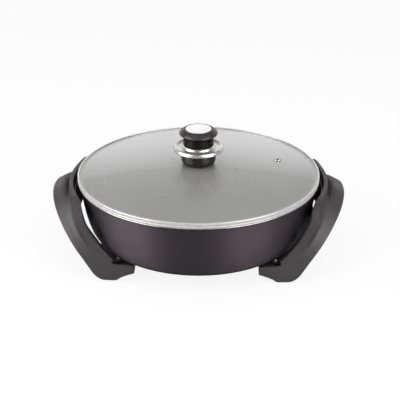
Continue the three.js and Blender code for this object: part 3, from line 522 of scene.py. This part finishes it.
def make_glass():
    """Dome of even thickness with an upright edge, holed for the knob screw and the vent."""
    radii = np.concatenate([np.linspace(0, 140, 36), np.linspace(142, GLASS_EDGE_RADIUS - 0.6, 10)])
    top = np.stack([radii, dome_z(radii)], axis=1)
    edge = [
        [GLASS_EDGE_RADIUS, GLASS_EDGE_TOP_Z - 0.6],
        [GLASS_EDGE_RADIUS, GLASS_EDGE_TOP_Z - GLASS_THICKNESS + 0.6],
    ]
    under = top[::-1] - [0, GLASS_THICKNESS]
    dome = turned_mesh("glass", np.concatenate([top, edge, under]), PAN_SEGMENTS, smooth_degrees=60)
    holes = [(KNOB_HOLE_RADIUS, (0, 0)), (VENT_HOLE_RADIUS, VENT_PLACE)]
    return carved(dome, [rod_mesh(radius, 100, 140, place) for radius, place in holes])


dress(link("lid_glass_dome", make_glass()), "lid", GLASS, ["glass_lid"])

BAND_LIP_RADIUS = LID_RADIUS - 2.2
BAND_INNER_RADIUS = LID_RADIUS - 1.6
BAND_SKIRT_RADIUS = 152.8
BAND_FLOOR_Z = BAND_LOW[2] + 7
GROOVE_RADIUS = LID_RADIUS - 1.1
GROOVE_Z = BAND_TOP_Z - 3.6


def make_band():
    """Bent sheet round the glass's edge: lip, grooved wall, floor, and a skirt inside the pan."""
    outline = rounded(
        [
            [BAND_SKIRT_RADIUS - 1, BAND_LOW[2]], [BAND_SKIRT_RADIUS, BAND_LOW[2]],
            [BAND_SKIRT_RADIUS, BAND_FLOOR_Z], [LID_RADIUS, BAND_FLOOR_Z], [LID_RADIUS, GROOVE_Z - 1.1],
            [GROOVE_RADIUS, GROOVE_Z - 0.6], [GROOVE_RADIUS, GROOVE_Z + 0.6], [LID_RADIUS, GROOVE_Z + 1.1],
            [LID_RADIUS, BAND_TOP_Z], [BAND_LIP_RADIUS, BAND_TOP_Z], [BAND_LIP_RADIUS, BAND_TOP_Z - 0.8],
            [BAND_INNER_RADIUS, BAND_TOP_Z - 1], [BAND_INNER_RADIUS, BAND_FLOOR_Z + 1.4],
            [BAND_SKIRT_RADIUS - 1, BAND_FLOOR_Z + 1.4],
        ],
        [0.3, 0.3, 0.5, 1.0, 0.3, 0.2, 0.2, 0.3, 1.5, 0.4, 0.3, 0.5, 0.5, 0.4],
    )
    return turned_mesh("band", outline, 240, ring=True)


dress(link("lid_steel_band", make_band()), "lid", BAND_STEEL, ["lid_rim_band"])

EYELET_BORE = 2.2
EYELET_TUBE = VENT_HOLE_RADIUS - 0.5


def make_eyelet():
    """Rolled ring through the glass: a rounded collar on top, a plain tube and a flare below."""
    low, high = node_box("steam_vent_eyelet")
    outer = (high[0] - low[0]) / 2
    outline = rounded(
        [
            [EYELET_BORE, low[2]], [outer - 0.6, low[2]], [outer - 0.6, low[2] + 0.9],
            [EYELET_TUBE, low[2] + 1.2], [EYELET_TUBE, high[2] - 1.5], [outer, high[2] - 1.5],
            [outer, high[2]], [EYELET_BORE, high[2]],
        ],
        [0.4, 0.4, 0.3, 0.3, 0.3, 0.5, 0.9, 0.7],
    )
    return turned_mesh("eyelet", outline, 48, (low[:2] + high[:2]) / 2, ring=True)


dress(link("steam_vent_collar", make_eyelet()), "lid", STEEL, ["steam_vent_eyelet"])


# Knob: base, dished guard, ringed neck, cap and bright inlay


def turned_size(node):
    """Foot height, top height and radius of a solid that was turned about the lid's axis."""
    low, high = node_box(node)
    return low[2], high[2], high[0]


def make_knob_base():
    """Cup that widens upwards from a rounded foot."""
    low, high, radius = turned_size("knob_base")
    outline = rounded(
        [
            [0, low], [radius - 2.2, low], [radius - 0.6, low + 3.4], [radius - 0.2, low + 7],
            [radius, high], [0, high],
        ],
        [0, 1.8, 3, 3, 0.6, 0],
        closed=False,
    )
    return turned_mesh("knob_base", outline)


def make_guard():
    """Dish with a thick rolled outer rim, rising again to where it meets the neck."""
    low, high, radius = turned_size("knob_guard")
    outline = rounded(
        [
            [3, low], [radius - 8, low], [radius - 1.6, low + 0.2], [radius, low + 1], [radius, low + 3.2],
            [radius - 1.4, low + 5.6], [radius - 3.6, low + 5.9], [radius - 5.4, low + 4.6],
            [radius - 9, low + 3.4], [radius - 11.6, low + 4], [radius - 12.8, high - 1.2],
            [radius - 13.9, high], [3, high],
        ],
        [0, 1, 1, 0.8, 2, 1.6, 1.4, 1.6, 1.6, 1, 0.6, 0.6, 0],
    )
    return turned_mesh("knob_guard", outline, ring=True)


def make_neck():
    """Stem with one groove and a raised ring above it."""
    low, high, radius = turned_size("knob_neck")
    outline = rounded(
        [
            [0, low], [radius, low], [radius - 0.3, low + 8], [radius - 1.3, low + 8.6],
            [radius - 1.3, low + 9.2], [radius, low + 9.8], [radius, low + 11], [radius - 1, low + 11.6],
            [radius - 1, high], [0, high],
        ],
        [0, 0.8, 0.8, 0.5, 0.5, 0.6, 0.6, 0.5, 0.3, 0],
        closed=False,
    )
    return turned_mesh("knob_neck", outline)


def make_cap():
    """Flat-based cap with a sloping shoulder, recessed for the inlay."""
    low, high, radius = turned_size("knob_cap")
    recess = turned_size("knob_inlay")[2] + 0.25
    outline = rounded(
        [
            [0, low], [radius - 1.6, low], [radius, low + 0.9], [radius, low + 2.4],
            [radius - 3.6, high - 1.4], [recess + 1.6, high], [recess, high], [recess, high - 1],
            [0, high - 1],
        ],
        [0, 0.8, 1, 1.6, 3.5, 1.2, 0.3, 0.2, 0],
        closed=False,
    )
    return turned_mesh("knob_cap", outline)


def make_inlay():
    """Thin plate with a slightly crowned top."""
    low, high, radius = turned_size("knob_inlay")
    outline = rounded(
        [
            [0, low], [radius, low], [radius, high - 1.1], [radius - 1.6, high - 0.6],
            [radius * 0.55, high - 0.1], [0, high],
        ],
        [0, 0.1, 0.4, 1, 4, 0],
        closed=False,
    )
    return turned_mesh("knob_inlay", outline)


dress(link("knob_foot", make_knob_base()), "lid", PHENOLIC, ["knob_base"])
dress(link("knob_guard_dish", make_guard()), "lid", CHROME, ["knob_guard"])
# The neck takes the phenolic darkened with painted shade
dress(link("knob_ringed_neck", make_neck()), "lid", NECK_PHENOLIC_PAINTED_SHADE, ["knob_neck"])
dress(link("knob_cap_moulding", make_cap()), "lid", CAP_PHENOLIC, ["knob_cap"])
dress(link("knob_inlay_plate", make_inlay()), "lid", INLAY, ["knob_inlay"])


# Handles: rails carried along the arch from the front toe over the grip to the rear toe

LEG_FOOT_Y = 105.6
LEG_LEAN = 0.1873
LEG_ANGLE = math.atan(LEG_LEAN)
BEND_ANGLE = math.pi / 2 - LEG_ANGLE
RIDGE_INNER_RADIUS = 166.0
RIDGE_WIDTH = (5.5, 12.0)
GRIP_TAPER = 15.3
GRIP_TAPER_AT = 60.0
FOOT_TOP_Z = 29.3
SOLE_Z = 1.5
LEG_WALL = 3.2
TOE_TOP_Z = 19.9
TOE_DEPTH_GROWTH = 1.6
BEND_END_GAP = 3.0
TOE_FRONT_RISE = 5.2
TOE_FRONT_DEPTH = 5.0
TOE_RIDGE_SHARE = 0.34

# Each rail: share of the ridge's width, share of the rest, height on the grip, bend radius,
# depth behind the legs' outer face, sideways shift
SKIN_RAILS = np.array([
    [0, 0, RIDGE_TOP_Z - 1.8, 32.5, 1.6, 0],
    [0.08, 0, RIDGE_TOP_Z - 0.4, 33, 0.3, 0],
    [0.3, 0, RIDGE_TOP_Z, 33.6, 0, 0],
    [0.8, 0, RIDGE_TOP_Z, 33.6, 0, 0],
    [1, 0, RIDGE_TOP_Z - 1.4, 34.5, 0, 0],
    [1, 0.05, 92.4, 58, 0, 0],
    [1, 0.2, 94.6, 80, 0, 0],
    [1, 0.4, 96.8, 95, 0, 0],
    [1, 0.78, 92.8, 97, 0.2, 0],
    [1, 0.94, 91, 96, 1, 0],
    [1, 1, 88.6, 95, 3.2, 0],
    [1, 0.985, 84.6, 92, 6.2, 0],
    [1, 0.93, 79, 88, 9.5, 0],
    [1, 0.84, 74, 82, 12.6, 0],
    [1, 0.1, 72, 78, 13, 0],
    [0.3, 0, 71, 76, 12.4, 0],
    [0, 0, 73, 70, 10, 0],
    [0, 0, 88, 50, TOE_FRONT_DEPTH, 0],
])
HOLLOW_RAILS = np.array([
    [0, 0, 58, 60, 18, LEG_WALL],
    [0, 0, RIDGE_TOP_Z - 5, 31, LEG_WALL, LEG_WALL],
    [1, 0, RIDGE_TOP_Z - 6.4, 33, LEG_WALL, -LEG_WALL],
    [1, 0.04, 88.6, 56, LEG_WALL, 0],
    [1, 0.4, 92.4, 92, LEG_WALL, 0],
    [1, 0.8, 88.2, 93, LEG_WALL + 0.4, 0],
    [1, 1, 84, 90, 7, -LEG_WALL - 1],
    [1, 1, 58, 60, 18, -LEG_WALL - 3.4],
])

# The strip's two edges through the foot, as (x, z)
LEG_INNER_CURVE = (106.5, 1.067, -0.0067)
LEG_OUTER_CURVE = (145.8, 0.7064, 0.0032)
FOOT_INNER = [
    [LEG_INNER_CURVE[0], FOOT_TOP_Z], [108.4, 24], [106, 20.9], [103, TOE_TOP_Z], [99.5, 19.6],
    [96, 19.4], [91, 19.2], [85.5, 18.8], [80, 18],
]
FOOT_OUTER = [
    [LEG_OUTER_CURVE[0], FOOT_TOP_Z], [137.8, 17.3], [131.6, 8.6], [123, 2.6], [113, SOLE_Z],
    [104, SOLE_Z], [98, 5], [89, 8.6], [78, 12],
]
FOOT_STEPS = 8


def smoothstep(value, low, high):
    """0 below low, 1 above high, and between them three times t squared less twice t cubed."""
    t = np.clip((value - low) / (high - low), 0, 1)
    return t * t * (3 - 2 * t)


def leg_edge_x(z, curve):
    """How far out the leg's edge is: a start, a slope and a bend over the height above the foot."""
    start, slope, bend = curve
    rise = z - FOOT_TOP_Z
    return start + slope * rise + bend * rise * rise


def bend_arc(height, bend, share):
    """The (y, z) of a rail's turn from the grip into the leg, y counted from the corner.

    A conic arc between the two straight stretches. It starts where a round bend would, ends
    where that would or just above the foot, and its weight keeps the round bend's distance
    from the corner: half the sum of the two tangent lengths over that distance, less one.
    """
    level = bend * math.tan(BEND_ANGLE / 2)
    down = np.minimum(level, (height - FOOT_TOP_Z) / math.cos(LEG_ANGLE) - BEND_END_GAP)
    gap = bend / math.cos(BEND_ANGLE / 2) - bend
    outward = down * math.sin(LEG_ANGLE)
    drop = down * math.cos(LEG_ANGLE)
    weight = np.hypot(outward - level, drop) / (2 * gap) - 1
    start = (1 - share) ** 2
    end = share**2
    total = start + 2 * weight * share * (1 - share) + end
    return (end * outward - start * level) / total, height - end * drop / total


def turn_share(height, bend, z):
    """Share of the round bend's turn at which a rail has come down to the height z."""
    return np.arccos(np.clip(1 - (height - z) / bend, -1, 1)) / BEND_ANGLE


def handle_points(rails, stations):
    """Points of the rails at the stations, as stations by rails by three.

    A station from 0 to 1 runs along the grip from its middle, 1 to 2 round the bend, 2 to 3
    down the leg and 3 to 4 round the foot to the toe; negative stations are the front half.
    In the side view a rail is level, then an arc through the bend angle, then the leg's
    leaning line. Across, it lies at its share between the strip's inner and outer edge.
    """
    ridge_share, grip_share, height, bend, depth, shift = (rails[:, i][None, :] for i in range(6))
    along = np.abs(stations)[:, None]
    side = np.where(stations < 0, -1.0, 1.0)[:, None]
    depth = depth / math.cos(LEG_ANGLE)
    ridge = RIDGE_WIDTH[0] + (RIDGE_WIDTH[1] - RIDGE_WIDTH[0]) * smoothstep(along, 0.6, 2)

    def across(inner, outer, ridge_width):
        return inner + ridge_share * ridge_width + grip_share * (outer - inner - ridge_width) + shift

    corner_y = LEG_FOOT_Y - LEG_LEAN * height - depth
    arc_y, z = bend_arc(height, bend, np.clip(along - 1, 0, 1))
    y = (corner_y + arc_y) * np.minimum(along, 1)
    leg_top_z = bend_arc(height, bend, 1.0)[1]
    blend = smoothstep(turn_share(height, bend, z) / turn_share(height, bend, leg_top_z), 0, 1)
    z = z + (FOOT_TOP_Z - z) * np.clip(along - 2, 0, 1)
    y = np.where(along > 2, LEG_FOOT_Y - LEG_LEAN * z - depth, y)
    crown_inner = np.sqrt(RIDGE_INNER_RADIUS**2 - y * y)
    crown_outer = GRIP_REACH - GRIP_TAPER * (y / GRIP_TAPER_AT) ** 2
    inner = crown_inner + (leg_edge_x(z, LEG_INNER_CURVE) - crown_inner) * blend
    outer = crown_outer + (leg_edge_x(z, LEG_OUTER_CURVE) - crown_outer) * blend
    x = across(inner, outer, ridge)

    fine = 32
    t = np.clip(along[:, 0] - 3, 0, 1) * FOOT_STEPS * fine
    sample = np.arange(FOOT_STEPS * fine + 1)
    edge_in, edge_out = (
        np.stack([np.interp(t, sample, column) for column in catmull(edge, fine).T], axis=1)
        for edge in (FOOT_INNER, FOOT_OUTER)
    )
    front_share = np.clip(1 - depth / TOE_FRONT_DEPTH, 0, 1)
    inner_z = edge_in[:, 1:] + TOE_FRONT_RISE * front_share * smoothstep(along, 3, 3.3)
    width = np.hypot(edge_out[:, :1] - edge_in[:, :1], edge_out[:, 1:] - inner_z)
    share = across(0, width, np.minimum(ridge, width * TOE_RIDGE_SHARE)) / width
    foot_x = edge_in[:, :1] + (edge_out - edge_in)[:, :1] * share
    foot_z = inner_z + (edge_out[:, 1:] - inner_z) * share
    deepening = 1 + TOE_DEPTH_GROWTH * smoothstep(along, 3, 3.6)
    foot_y = LEG_FOOT_Y - LEG_LEAN * foot_z - depth * deepening
    in_foot = along > 3
    return np.stack(
        [np.where(in_foot, foot_x, x), side * np.where(in_foot, foot_y, y), np.where(in_foot, foot_z, z)],
        axis=-1,
    )


def handle_rings(rails, stations, steps=5):
    """Rings of the handle, each rounded by a closed Catmull-Rom curve through the rails' points."""
    coarse = handle_points(rails, np.asarray(stations, float))
    return catmull(coarse.transpose(1, 0, 2), steps, closed=True).transpose(1, 0, 2)


def eased_ends(rings):
    """Rings with both ends drawn in over the last millimetre, so that the end faces are eased."""
    ends = []
    for end, neighbour in ((rings[0], rings[1]), (rings[-1], rings[-2])):
        middle = end.mean(axis=0)
        outward = middle - neighbour.mean(axis=0)
        outward /= np.linalg.norm(outward)
        shrink = np.array([0.985, 0.95, 0.88])[:, None, None]
        reach = np.array([0.3, 0.6, 0.75])[:, None, None]
        ends.append(middle + (end - middle) * shrink + outward * reach)
    return np.concatenate([ends[0][::-1], rings, ends[1]])


GRIP_TO_TOE = np.concatenate([
    np.linspace(0, 1, 17)[:-1], np.linspace(1, 2, 25)[:-1], np.linspace(2, 3, 9)[:-1],
    np.linspace(3, 3.97, 49),
])
STATIONS = np.concatenate([-GRIP_TO_TOE[:0:-1], GRIP_TO_TOE])

# Stretches of the hollow inside, from and to a station, with their steps; ribs stand between them
HOLLOW_STRETCHES = [(-1.3, 1.3, 36), (1.4, 1.64, 6), (1.78, 2.04, 6), (2.16, 2.5, 4), (2.62, 2.94, 4)]


def make_handle():
    """The skin over all stations, less the hollows; all but the middle one are cut at both ends."""
    body = loft_mesh("handle", eased_ends(handle_rings(SKIN_RAILS, STATIONS)))
    hollows = []
    for start, end, count in HOLLOW_STRETCHES:
        stretch = np.linspace(start, end, count + 1)
        for stations in ([stretch] if start < 0 else [stretch, -stretch[::-1]]):
            hollows.append(loft_mesh("hollow", handle_rings(HOLLOW_RAILS, stations, 2)))
    return carved(body, [joined_mesh(hollows)])


right_handle_mesh = make_handle()
left_handle_mesh = mirrored_mesh(right_handle_mesh, "left_handle_skin")
dress(link("right_handle_moulding", right_handle_mesh), "base", PLASTIC, ["right_handle"])
dress(link("left_handle_moulding", left_handle_mesh), "base", PLASTIC, ["left_handle"])


# Smaller parts: eased copies of the CAD solids, and screws, pads and pins turned anew


def eased_copy(node, width, smooth_degrees=35):
    """The node's own solid with its edges eased: a merged copy, bevelled on its sharp edges."""
    mesh = NODES[node].data.copy()
    mesh.materials.clear()
    work = bmesh.new()
    work.from_mesh(mesh)
    bmesh.ops.remove_doubles(work, verts=work.verts, dist=2e-6)
    bmesh.ops.dissolve_limit(work, angle_limit=math.radians(1), verts=work.verts, edges=work.edges)
    work.to_mesh(mesh)
    work.free()
    piece = link(node + "_eased", tidy_mesh(mesh, smooth_degrees))
    if width:
        bevel = piece.modifiers.new("ease", "BEVEL")
        bevel.width = width * MM
        bevel.segments = 2
        bevel.angle_limit = math.radians(smooth_degrees)
        bevel.harden_normals = True
    return piece


# Node: body, slot, material and width of the eased edge
EASED = {
    "inlet_housing": ("base", "handle_plastic", PLASTIC, 0.5),
    "right_grip_plate": ("base", "handle_plastic", PLASTIC, 0.4),
    "left_grip_plate": ("base", "handle_plastic", PLASTIC, 0.4),
    "right_heat_shield": ("base", "handle_plastic", PLASTIC, 0.5),
    "left_heat_shield": ("base", "handle_plastic", PLASTIC, 0.5),
    "left_foot_tie": ("base", "handle_plastic", PLASTIC, 0.7),
    "right_foot_tie_front": ("base", "handle_plastic", PLASTIC, 0.7),
    "right_foot_tie_rear": ("base", "handle_plastic", PLASTIC, 0.7),
    "base_cover": ("base", "stainless", PRESSED, 0.4),
    "heat_spreader": ("base", "spreader_aluminium", CAST, 0.4),
    "heating_element": ("base", "stainless", SHEATH, 0),
    "live_pin_bush": ("base", "pin_ceramic", CERAMIC, 0.3),
    "neutral_pin_bush": ("base", "pin_ceramic", CERAMIC, 0.3),
    "probe_well": ("base", "stainless", STEEL, 0.2),
    "knob_seal": ("lid", "seal_silicone", SILICONE, 0.2),
    "knob_washer": ("lid", "stainless", ZINC, 0.2),
}
for name, (body, slot, material, width) in EASED.items():
    dress(eased_copy(name, width), body, material, [name])


THREAD_PITCH = 0.8
THREAD_DEPTH = 0.35
HEAD_DOME_SHARE = 0.62
RECESS_HALF_LENGTH = 0.62
RECESS_HALF_WIDTH = 0.13
RECESS_DEPTH = 0.55


def make_screw(node, head_height, shank_radius):
    """Upright screw, head down: a domed head with a cross recess, and a shank with thread rings.

    The dome is a quarter turn of an ellipse; the thread's rings step between two radii. The
    recess is two bars across each other, sized as shares of the head's radius and height.
    """
    low, high = node_box(node)
    place = (low[:2] + high[:2]) / 2
    head = (high[0] - low[0]) / 2
    base, tip = low[2], high[2]
    turns = np.arange(base + head_height + 1.2, tip - 1.6, THREAD_PITCH)
    thread_step = ((shank_radius - THREAD_DEPTH, 0), (shank_radius, THREAD_PITCH / 2))
    thread = [[radius, z + lift] for z in turns for radius, lift in thread_step]
    dome = [
        [head * math.sin(angle), base + head_height * HEAD_DOME_SHARE * (1 - math.cos(angle))]
        for angle in np.linspace(0, math.pi / 2, 7)
    ]
    profile = [
        *dome, [head, base + head_height], [shank_radius, base + head_height], *thread,
        [shank_radius - 0.3, tip - 1], [0, tip],
    ]
    solid = turned_mesh("screw", profile, 32, place)
    blade = head * RECESS_HALF_LENGTH
    edge = head * RECESS_HALF_WIDTH
    slots = [
        bar_mesh(*halves, base - 1, base + head_height * RECESS_DEPTH, place)
        for halves in ((blade, edge), (edge, blade))
    ]
    return carved(solid, slots)


# Node, head height, shank radius and body
SCREWS = [(name, 2.4, 2.2, "base") for name in NODES if name.startswith("toe_screw")]
SCREWS += [(name, 1.9, 1.2, "base") for name in NODES if name.startswith("grip_screw")]
SCREWS += [(name, 1.8, 1.5, "base") for name in NODES if name.startswith("base_cover_screw")]
SCREWS.append(("knob_screw", 3.0, 2.4, "lid"))
for name, head_height, shank_radius, body in SCREWS:
    screw = link(name + "_threaded", make_screw(name, head_height, shank_radius))
    dress(screw, body, ZINC, [name])


def make_upright(node, ease, segments=48):
    """Upright cylinder of the node's own size with eased edges."""
    low, high = node_box(node)
    radius = (high[0] - low[0]) / 2
    outline = rounded(
        [[0, low[2]], [radius, low[2]], [radius, high[2]], [0, high[2]]], [0, ease, ease, 0], closed=False
    )
    return turned_mesh(node, outline, segments, (low[:2] + high[:2]) / 2)


for name in NODES:
    if name.startswith("foot_pad"):
        dress(link(name + "_moulded", make_upright(name, 0.6)), "base", RUBBER, [name])
    if name.startswith("toe_spacer"):
        dress(link(name + "_turned", make_upright(name, 0.5)), "base", PRESSED, [name])


def make_pin(node):
    """Terminal pin along +X with a coned tip, of the node's own length and thickness."""
    low, high = node_box(node)
    radius = (high[2] - low[2]) / 2
    outline = rounded(
        [[0, low[0]], [radius, low[0]], [radius, high[0] - 3], [radius - 1.2, high[0]], [0, high[0]]],
        [0, 0.2, 1.2, 0.8, 0],
        closed=False,
    )
    return turn_to_x(turned_mesh(node, outline, 40), (low[1] + high[1]) / 2, (low[2] + high[2]) / 2)


for name in ("live_pin", "neutral_pin"):
    dress(link(name + "_turned", make_pin(name)), "base", STEEL, [name])

# The nodes that nothing stands for, the inlet's screws, show as they are
for node in NODES.values():
    if not node.hide_render:
        node.data.materials.clear()
        node.data.materials.append(ZINC)


# Stage: white floor and surroundings, soft lamps, and the photographed viewpoint

FLOOR_HALF_WIDTH = 6000
FLOOR_GLOW = 0.88
FLOOR_TONE_IN_GLOSS = 0.16
WORLD_LIGHT = 0.42
# Height in the sky and tone, for what gloss mirrors
ROOM_TONES = ((0.16, 1.0), (0.3, 0.64), (0.5, 0.36), (0.8, 0.25))
# Depth from front to back and the strength of those tones
ROOM_DEPTH = (("From Min", 0.3), ("From Max", 0.8), ("To Min", 0.4), ("To Max", 1.0))
SKILLET_MIDDLE = Vector((0, 0, 0.07))
CAMERA_DISTANCE = 1.5
CAMERA_ELEVATION = math.radians(25.18)
CAMERA_SWING = math.radians(1.5)
CAMERA_AIM_SIDEWAYS = 0.00196
CAMERA_AIM_HEIGHT = 0.0696
CAMERA_LENS = 100.41


def light_path_mix(tree, shown, lit):
    """Mixes two shaders by the kind of ray: shown for camera, glossy and transmitted rays."""
    path = tree.nodes.new("ShaderNodeLightPath")
    first = tree.nodes.new("ShaderNodeMath")
    first.operation = "MAXIMUM"
    second = tree.nodes.new("ShaderNodeMath")
    second.operation = "MAXIMUM"
    mix = tree.nodes.new("ShaderNodeMixShader")
    tree.links.new(path.outputs["Is Camera Ray"], first.inputs[0])
    tree.links.new(path.outputs["Is Glossy Ray"], first.inputs[1])
    tree.links.new(first.outputs[0], second.inputs[0])
    tree.links.new(path.outputs["Is Transmission Ray"], second.inputs[1])
    tree.links.new(second.outputs[0], mix.inputs[0])
    tree.links.new(lit, mix.inputs[1])
    tree.links.new(shown, mix.inputs[2])
    return mix.outputs[0]


def make_floor():
    """White square that glows for the camera, takes the shadow, and is darker where gloss mirrors it."""
    corners = np.array([[-1, -1, 0], [1, -1, 0], [1, 1, 0], [-1, 1, 0]]) * FLOOR_HALF_WIDTH
    floor = link("floor", raw_mesh("floor", corners, [[0, 1, 2, 3]]))
    material = bpy.data.materials.new("pale_floor")
    material.use_nodes = True
    tree = material.node_tree
    diffuse = tree.nodes["Principled BSDF"]
    diffuse.inputs["Base Color"].default_value = (0.85, 0.85, 0.85, 1)
    diffuse.inputs["Roughness"].default_value = 0.9
    glow = tree.nodes.new("ShaderNodeEmission")
    glow.inputs["Strength"].default_value = 1.0
    blend = tree.nodes.new("ShaderNodeMixShader")
    blend.inputs[0].default_value = FLOOR_GLOW
    tree.links.new(diffuse.outputs[0], blend.inputs[1])
    tree.links.new(glow.outputs[0], blend.inputs[2])
    dim = tree.nodes.new("ShaderNodeEmission")
    dim.inputs["Strength"].default_value = FLOOR_TONE_IN_GLOSS
    path = tree.nodes.new("ShaderNodeLightPath")
    mirrored = tree.nodes.new("ShaderNodeMixShader")
    tree.links.new(path.outputs["Is Glossy Ray"], mirrored.inputs[0])
    tree.links.new(blend.outputs[0], mirrored.inputs[1])
    tree.links.new(dim.outputs[0], mirrored.inputs[2])
    shown = light_path_mix(tree, mirrored.outputs[0], diffuse.outputs[0])
    tree.links.new(shown, tree.nodes["Material Output"].inputs["Surface"])
    floor.data.materials.append(material)


def make_world():
    """White for the camera; in reflections it greys from the horizon up, and towards the front."""
    world = bpy.data.worlds.new("studio")
    bpy.context.scene.world = world
    world.use_nodes = True
    tree = world.node_tree
    soft = tree.nodes["Background"]
    soft.inputs["Color"].default_value = (1, 1, 1, 1)
    soft.inputs["Strength"].default_value = WORLD_LIGHT
    white = tree.nodes.new("ShaderNodeBackground")
    white.inputs["Color"].default_value = (1, 1, 1, 1)
    white.inputs["Strength"].default_value = 1.0
    room = tree.nodes.new("ShaderNodeBackground")
    place = tree.nodes.new("ShaderNodeTexCoord")
    split = tree.nodes.new("ShaderNodeSeparateXYZ")
    ramp = tree.nodes.new("ShaderNodeValToRGB")
    elements = ramp.color_ramp.elements
    while len(elements) < len(ROOM_TONES):
        elements.new(0.5)
    for element, (height, tone) in zip(elements, ROOM_TONES):
        element.position = height
        element.color = (tone, tone, tone, 1)
    tree.links.new(place.outputs["Generated"], split.inputs[0])
    tree.links.new(split.outputs["Z"], ramp.inputs["Fac"])
    tree.links.new(ramp.outputs["Color"], room.inputs["Color"])
    depth = tree.nodes.new("ShaderNodeMapRange")
    for label, number in ROOM_DEPTH:
        depth.inputs[label].default_value = number
    tree.links.new(split.outputs["Y"], depth.inputs["Value"])
    tree.links.new(depth.outputs["Result"], room.inputs["Strength"])
    path = tree.nodes.new("ShaderNodeLightPath")
    mirrored = tree.nodes.new("ShaderNodeMixShader")
    tree.links.new(path.outputs["Is Glossy Ray"], mirrored.inputs[0])
    tree.links.new(white.outputs[0], mirrored.inputs[1])
    tree.links.new(room.outputs[0], mirrored.inputs[2])
    shown = light_path_mix(tree, mirrored.outputs[0], soft.outputs[0])
    tree.links.new(shown, tree.nodes["World Output"].inputs["Surface"])


def make_lamp(name, place, size, watts, mirrored=True):
    """Soft box that faces the middle of the skillet; not mirrored, it has no image in gloss."""
    light = bpy.data.lights.new(name, "AREA")
    light.shape = "RECTANGLE"
    light.size, light.size_y = size
    light.energy = watts
    lamp = bpy.data.objects.new(name, light)
    bpy.context.scene.collection.objects.link(lamp)
    lamp.visible_glossy = mirrored
    lamp.location = place
    lamp.rotation_euler = (SKILLET_MIDDLE - Vector(place)).to_track_quat("-Z", "Y").to_euler()


def make_camera():
    """Looks down at 25.2 degrees from 1.5 m, a little from the right of the skillet's front."""
    data = bpy.data.cameras.new("camera")
    camera = bpy.data.objects.new("camera", data)
    bpy.context.scene.collection.objects.link(camera)
    sideways = Vector((math.cos(CAMERA_SWING), math.sin(CAMERA_SWING), 0))
    towards = Vector((-math.sin(CAMERA_SWING), math.cos(CAMERA_SWING), 0))
    target = CAMERA_AIM_SIDEWAYS * sideways + Vector((0, 0, CAMERA_AIM_HEIGHT))
    drop = Vector((0, 0, math.sin(CAMERA_ELEVATION)))
    camera.location = target - CAMERA_DISTANCE * (math.cos(CAMERA_ELEVATION) * towards - drop)
    camera.rotation_euler = (math.pi / 2 - CAMERA_ELEVATION, 0, CAMERA_SWING)
    data.sensor_width = 36
    data.lens = CAMERA_LENS
    data.clip_end = 50
    bpy.context.scene.camera = camera


make_floor()
make_world()
make_lamp("left_softbox", (-1.65, -0.75, 0.9), (1.7, 1.4), 33)
make_lamp("right_softbox", (1.32, -1.12, 1.0), (1.5, 1.4), 24)
make_lamp("top_softbox", (0.0, -0.4, 1.9), (1.8, 1.4), 12, mirrored=False)
make_lamp("rear_softbox", (-0.1, 2.4, 1.25), (1.4, 0.5), 1.0)
make_camera()
bpy.context.scene.view_settings.view_transform = "Standard"
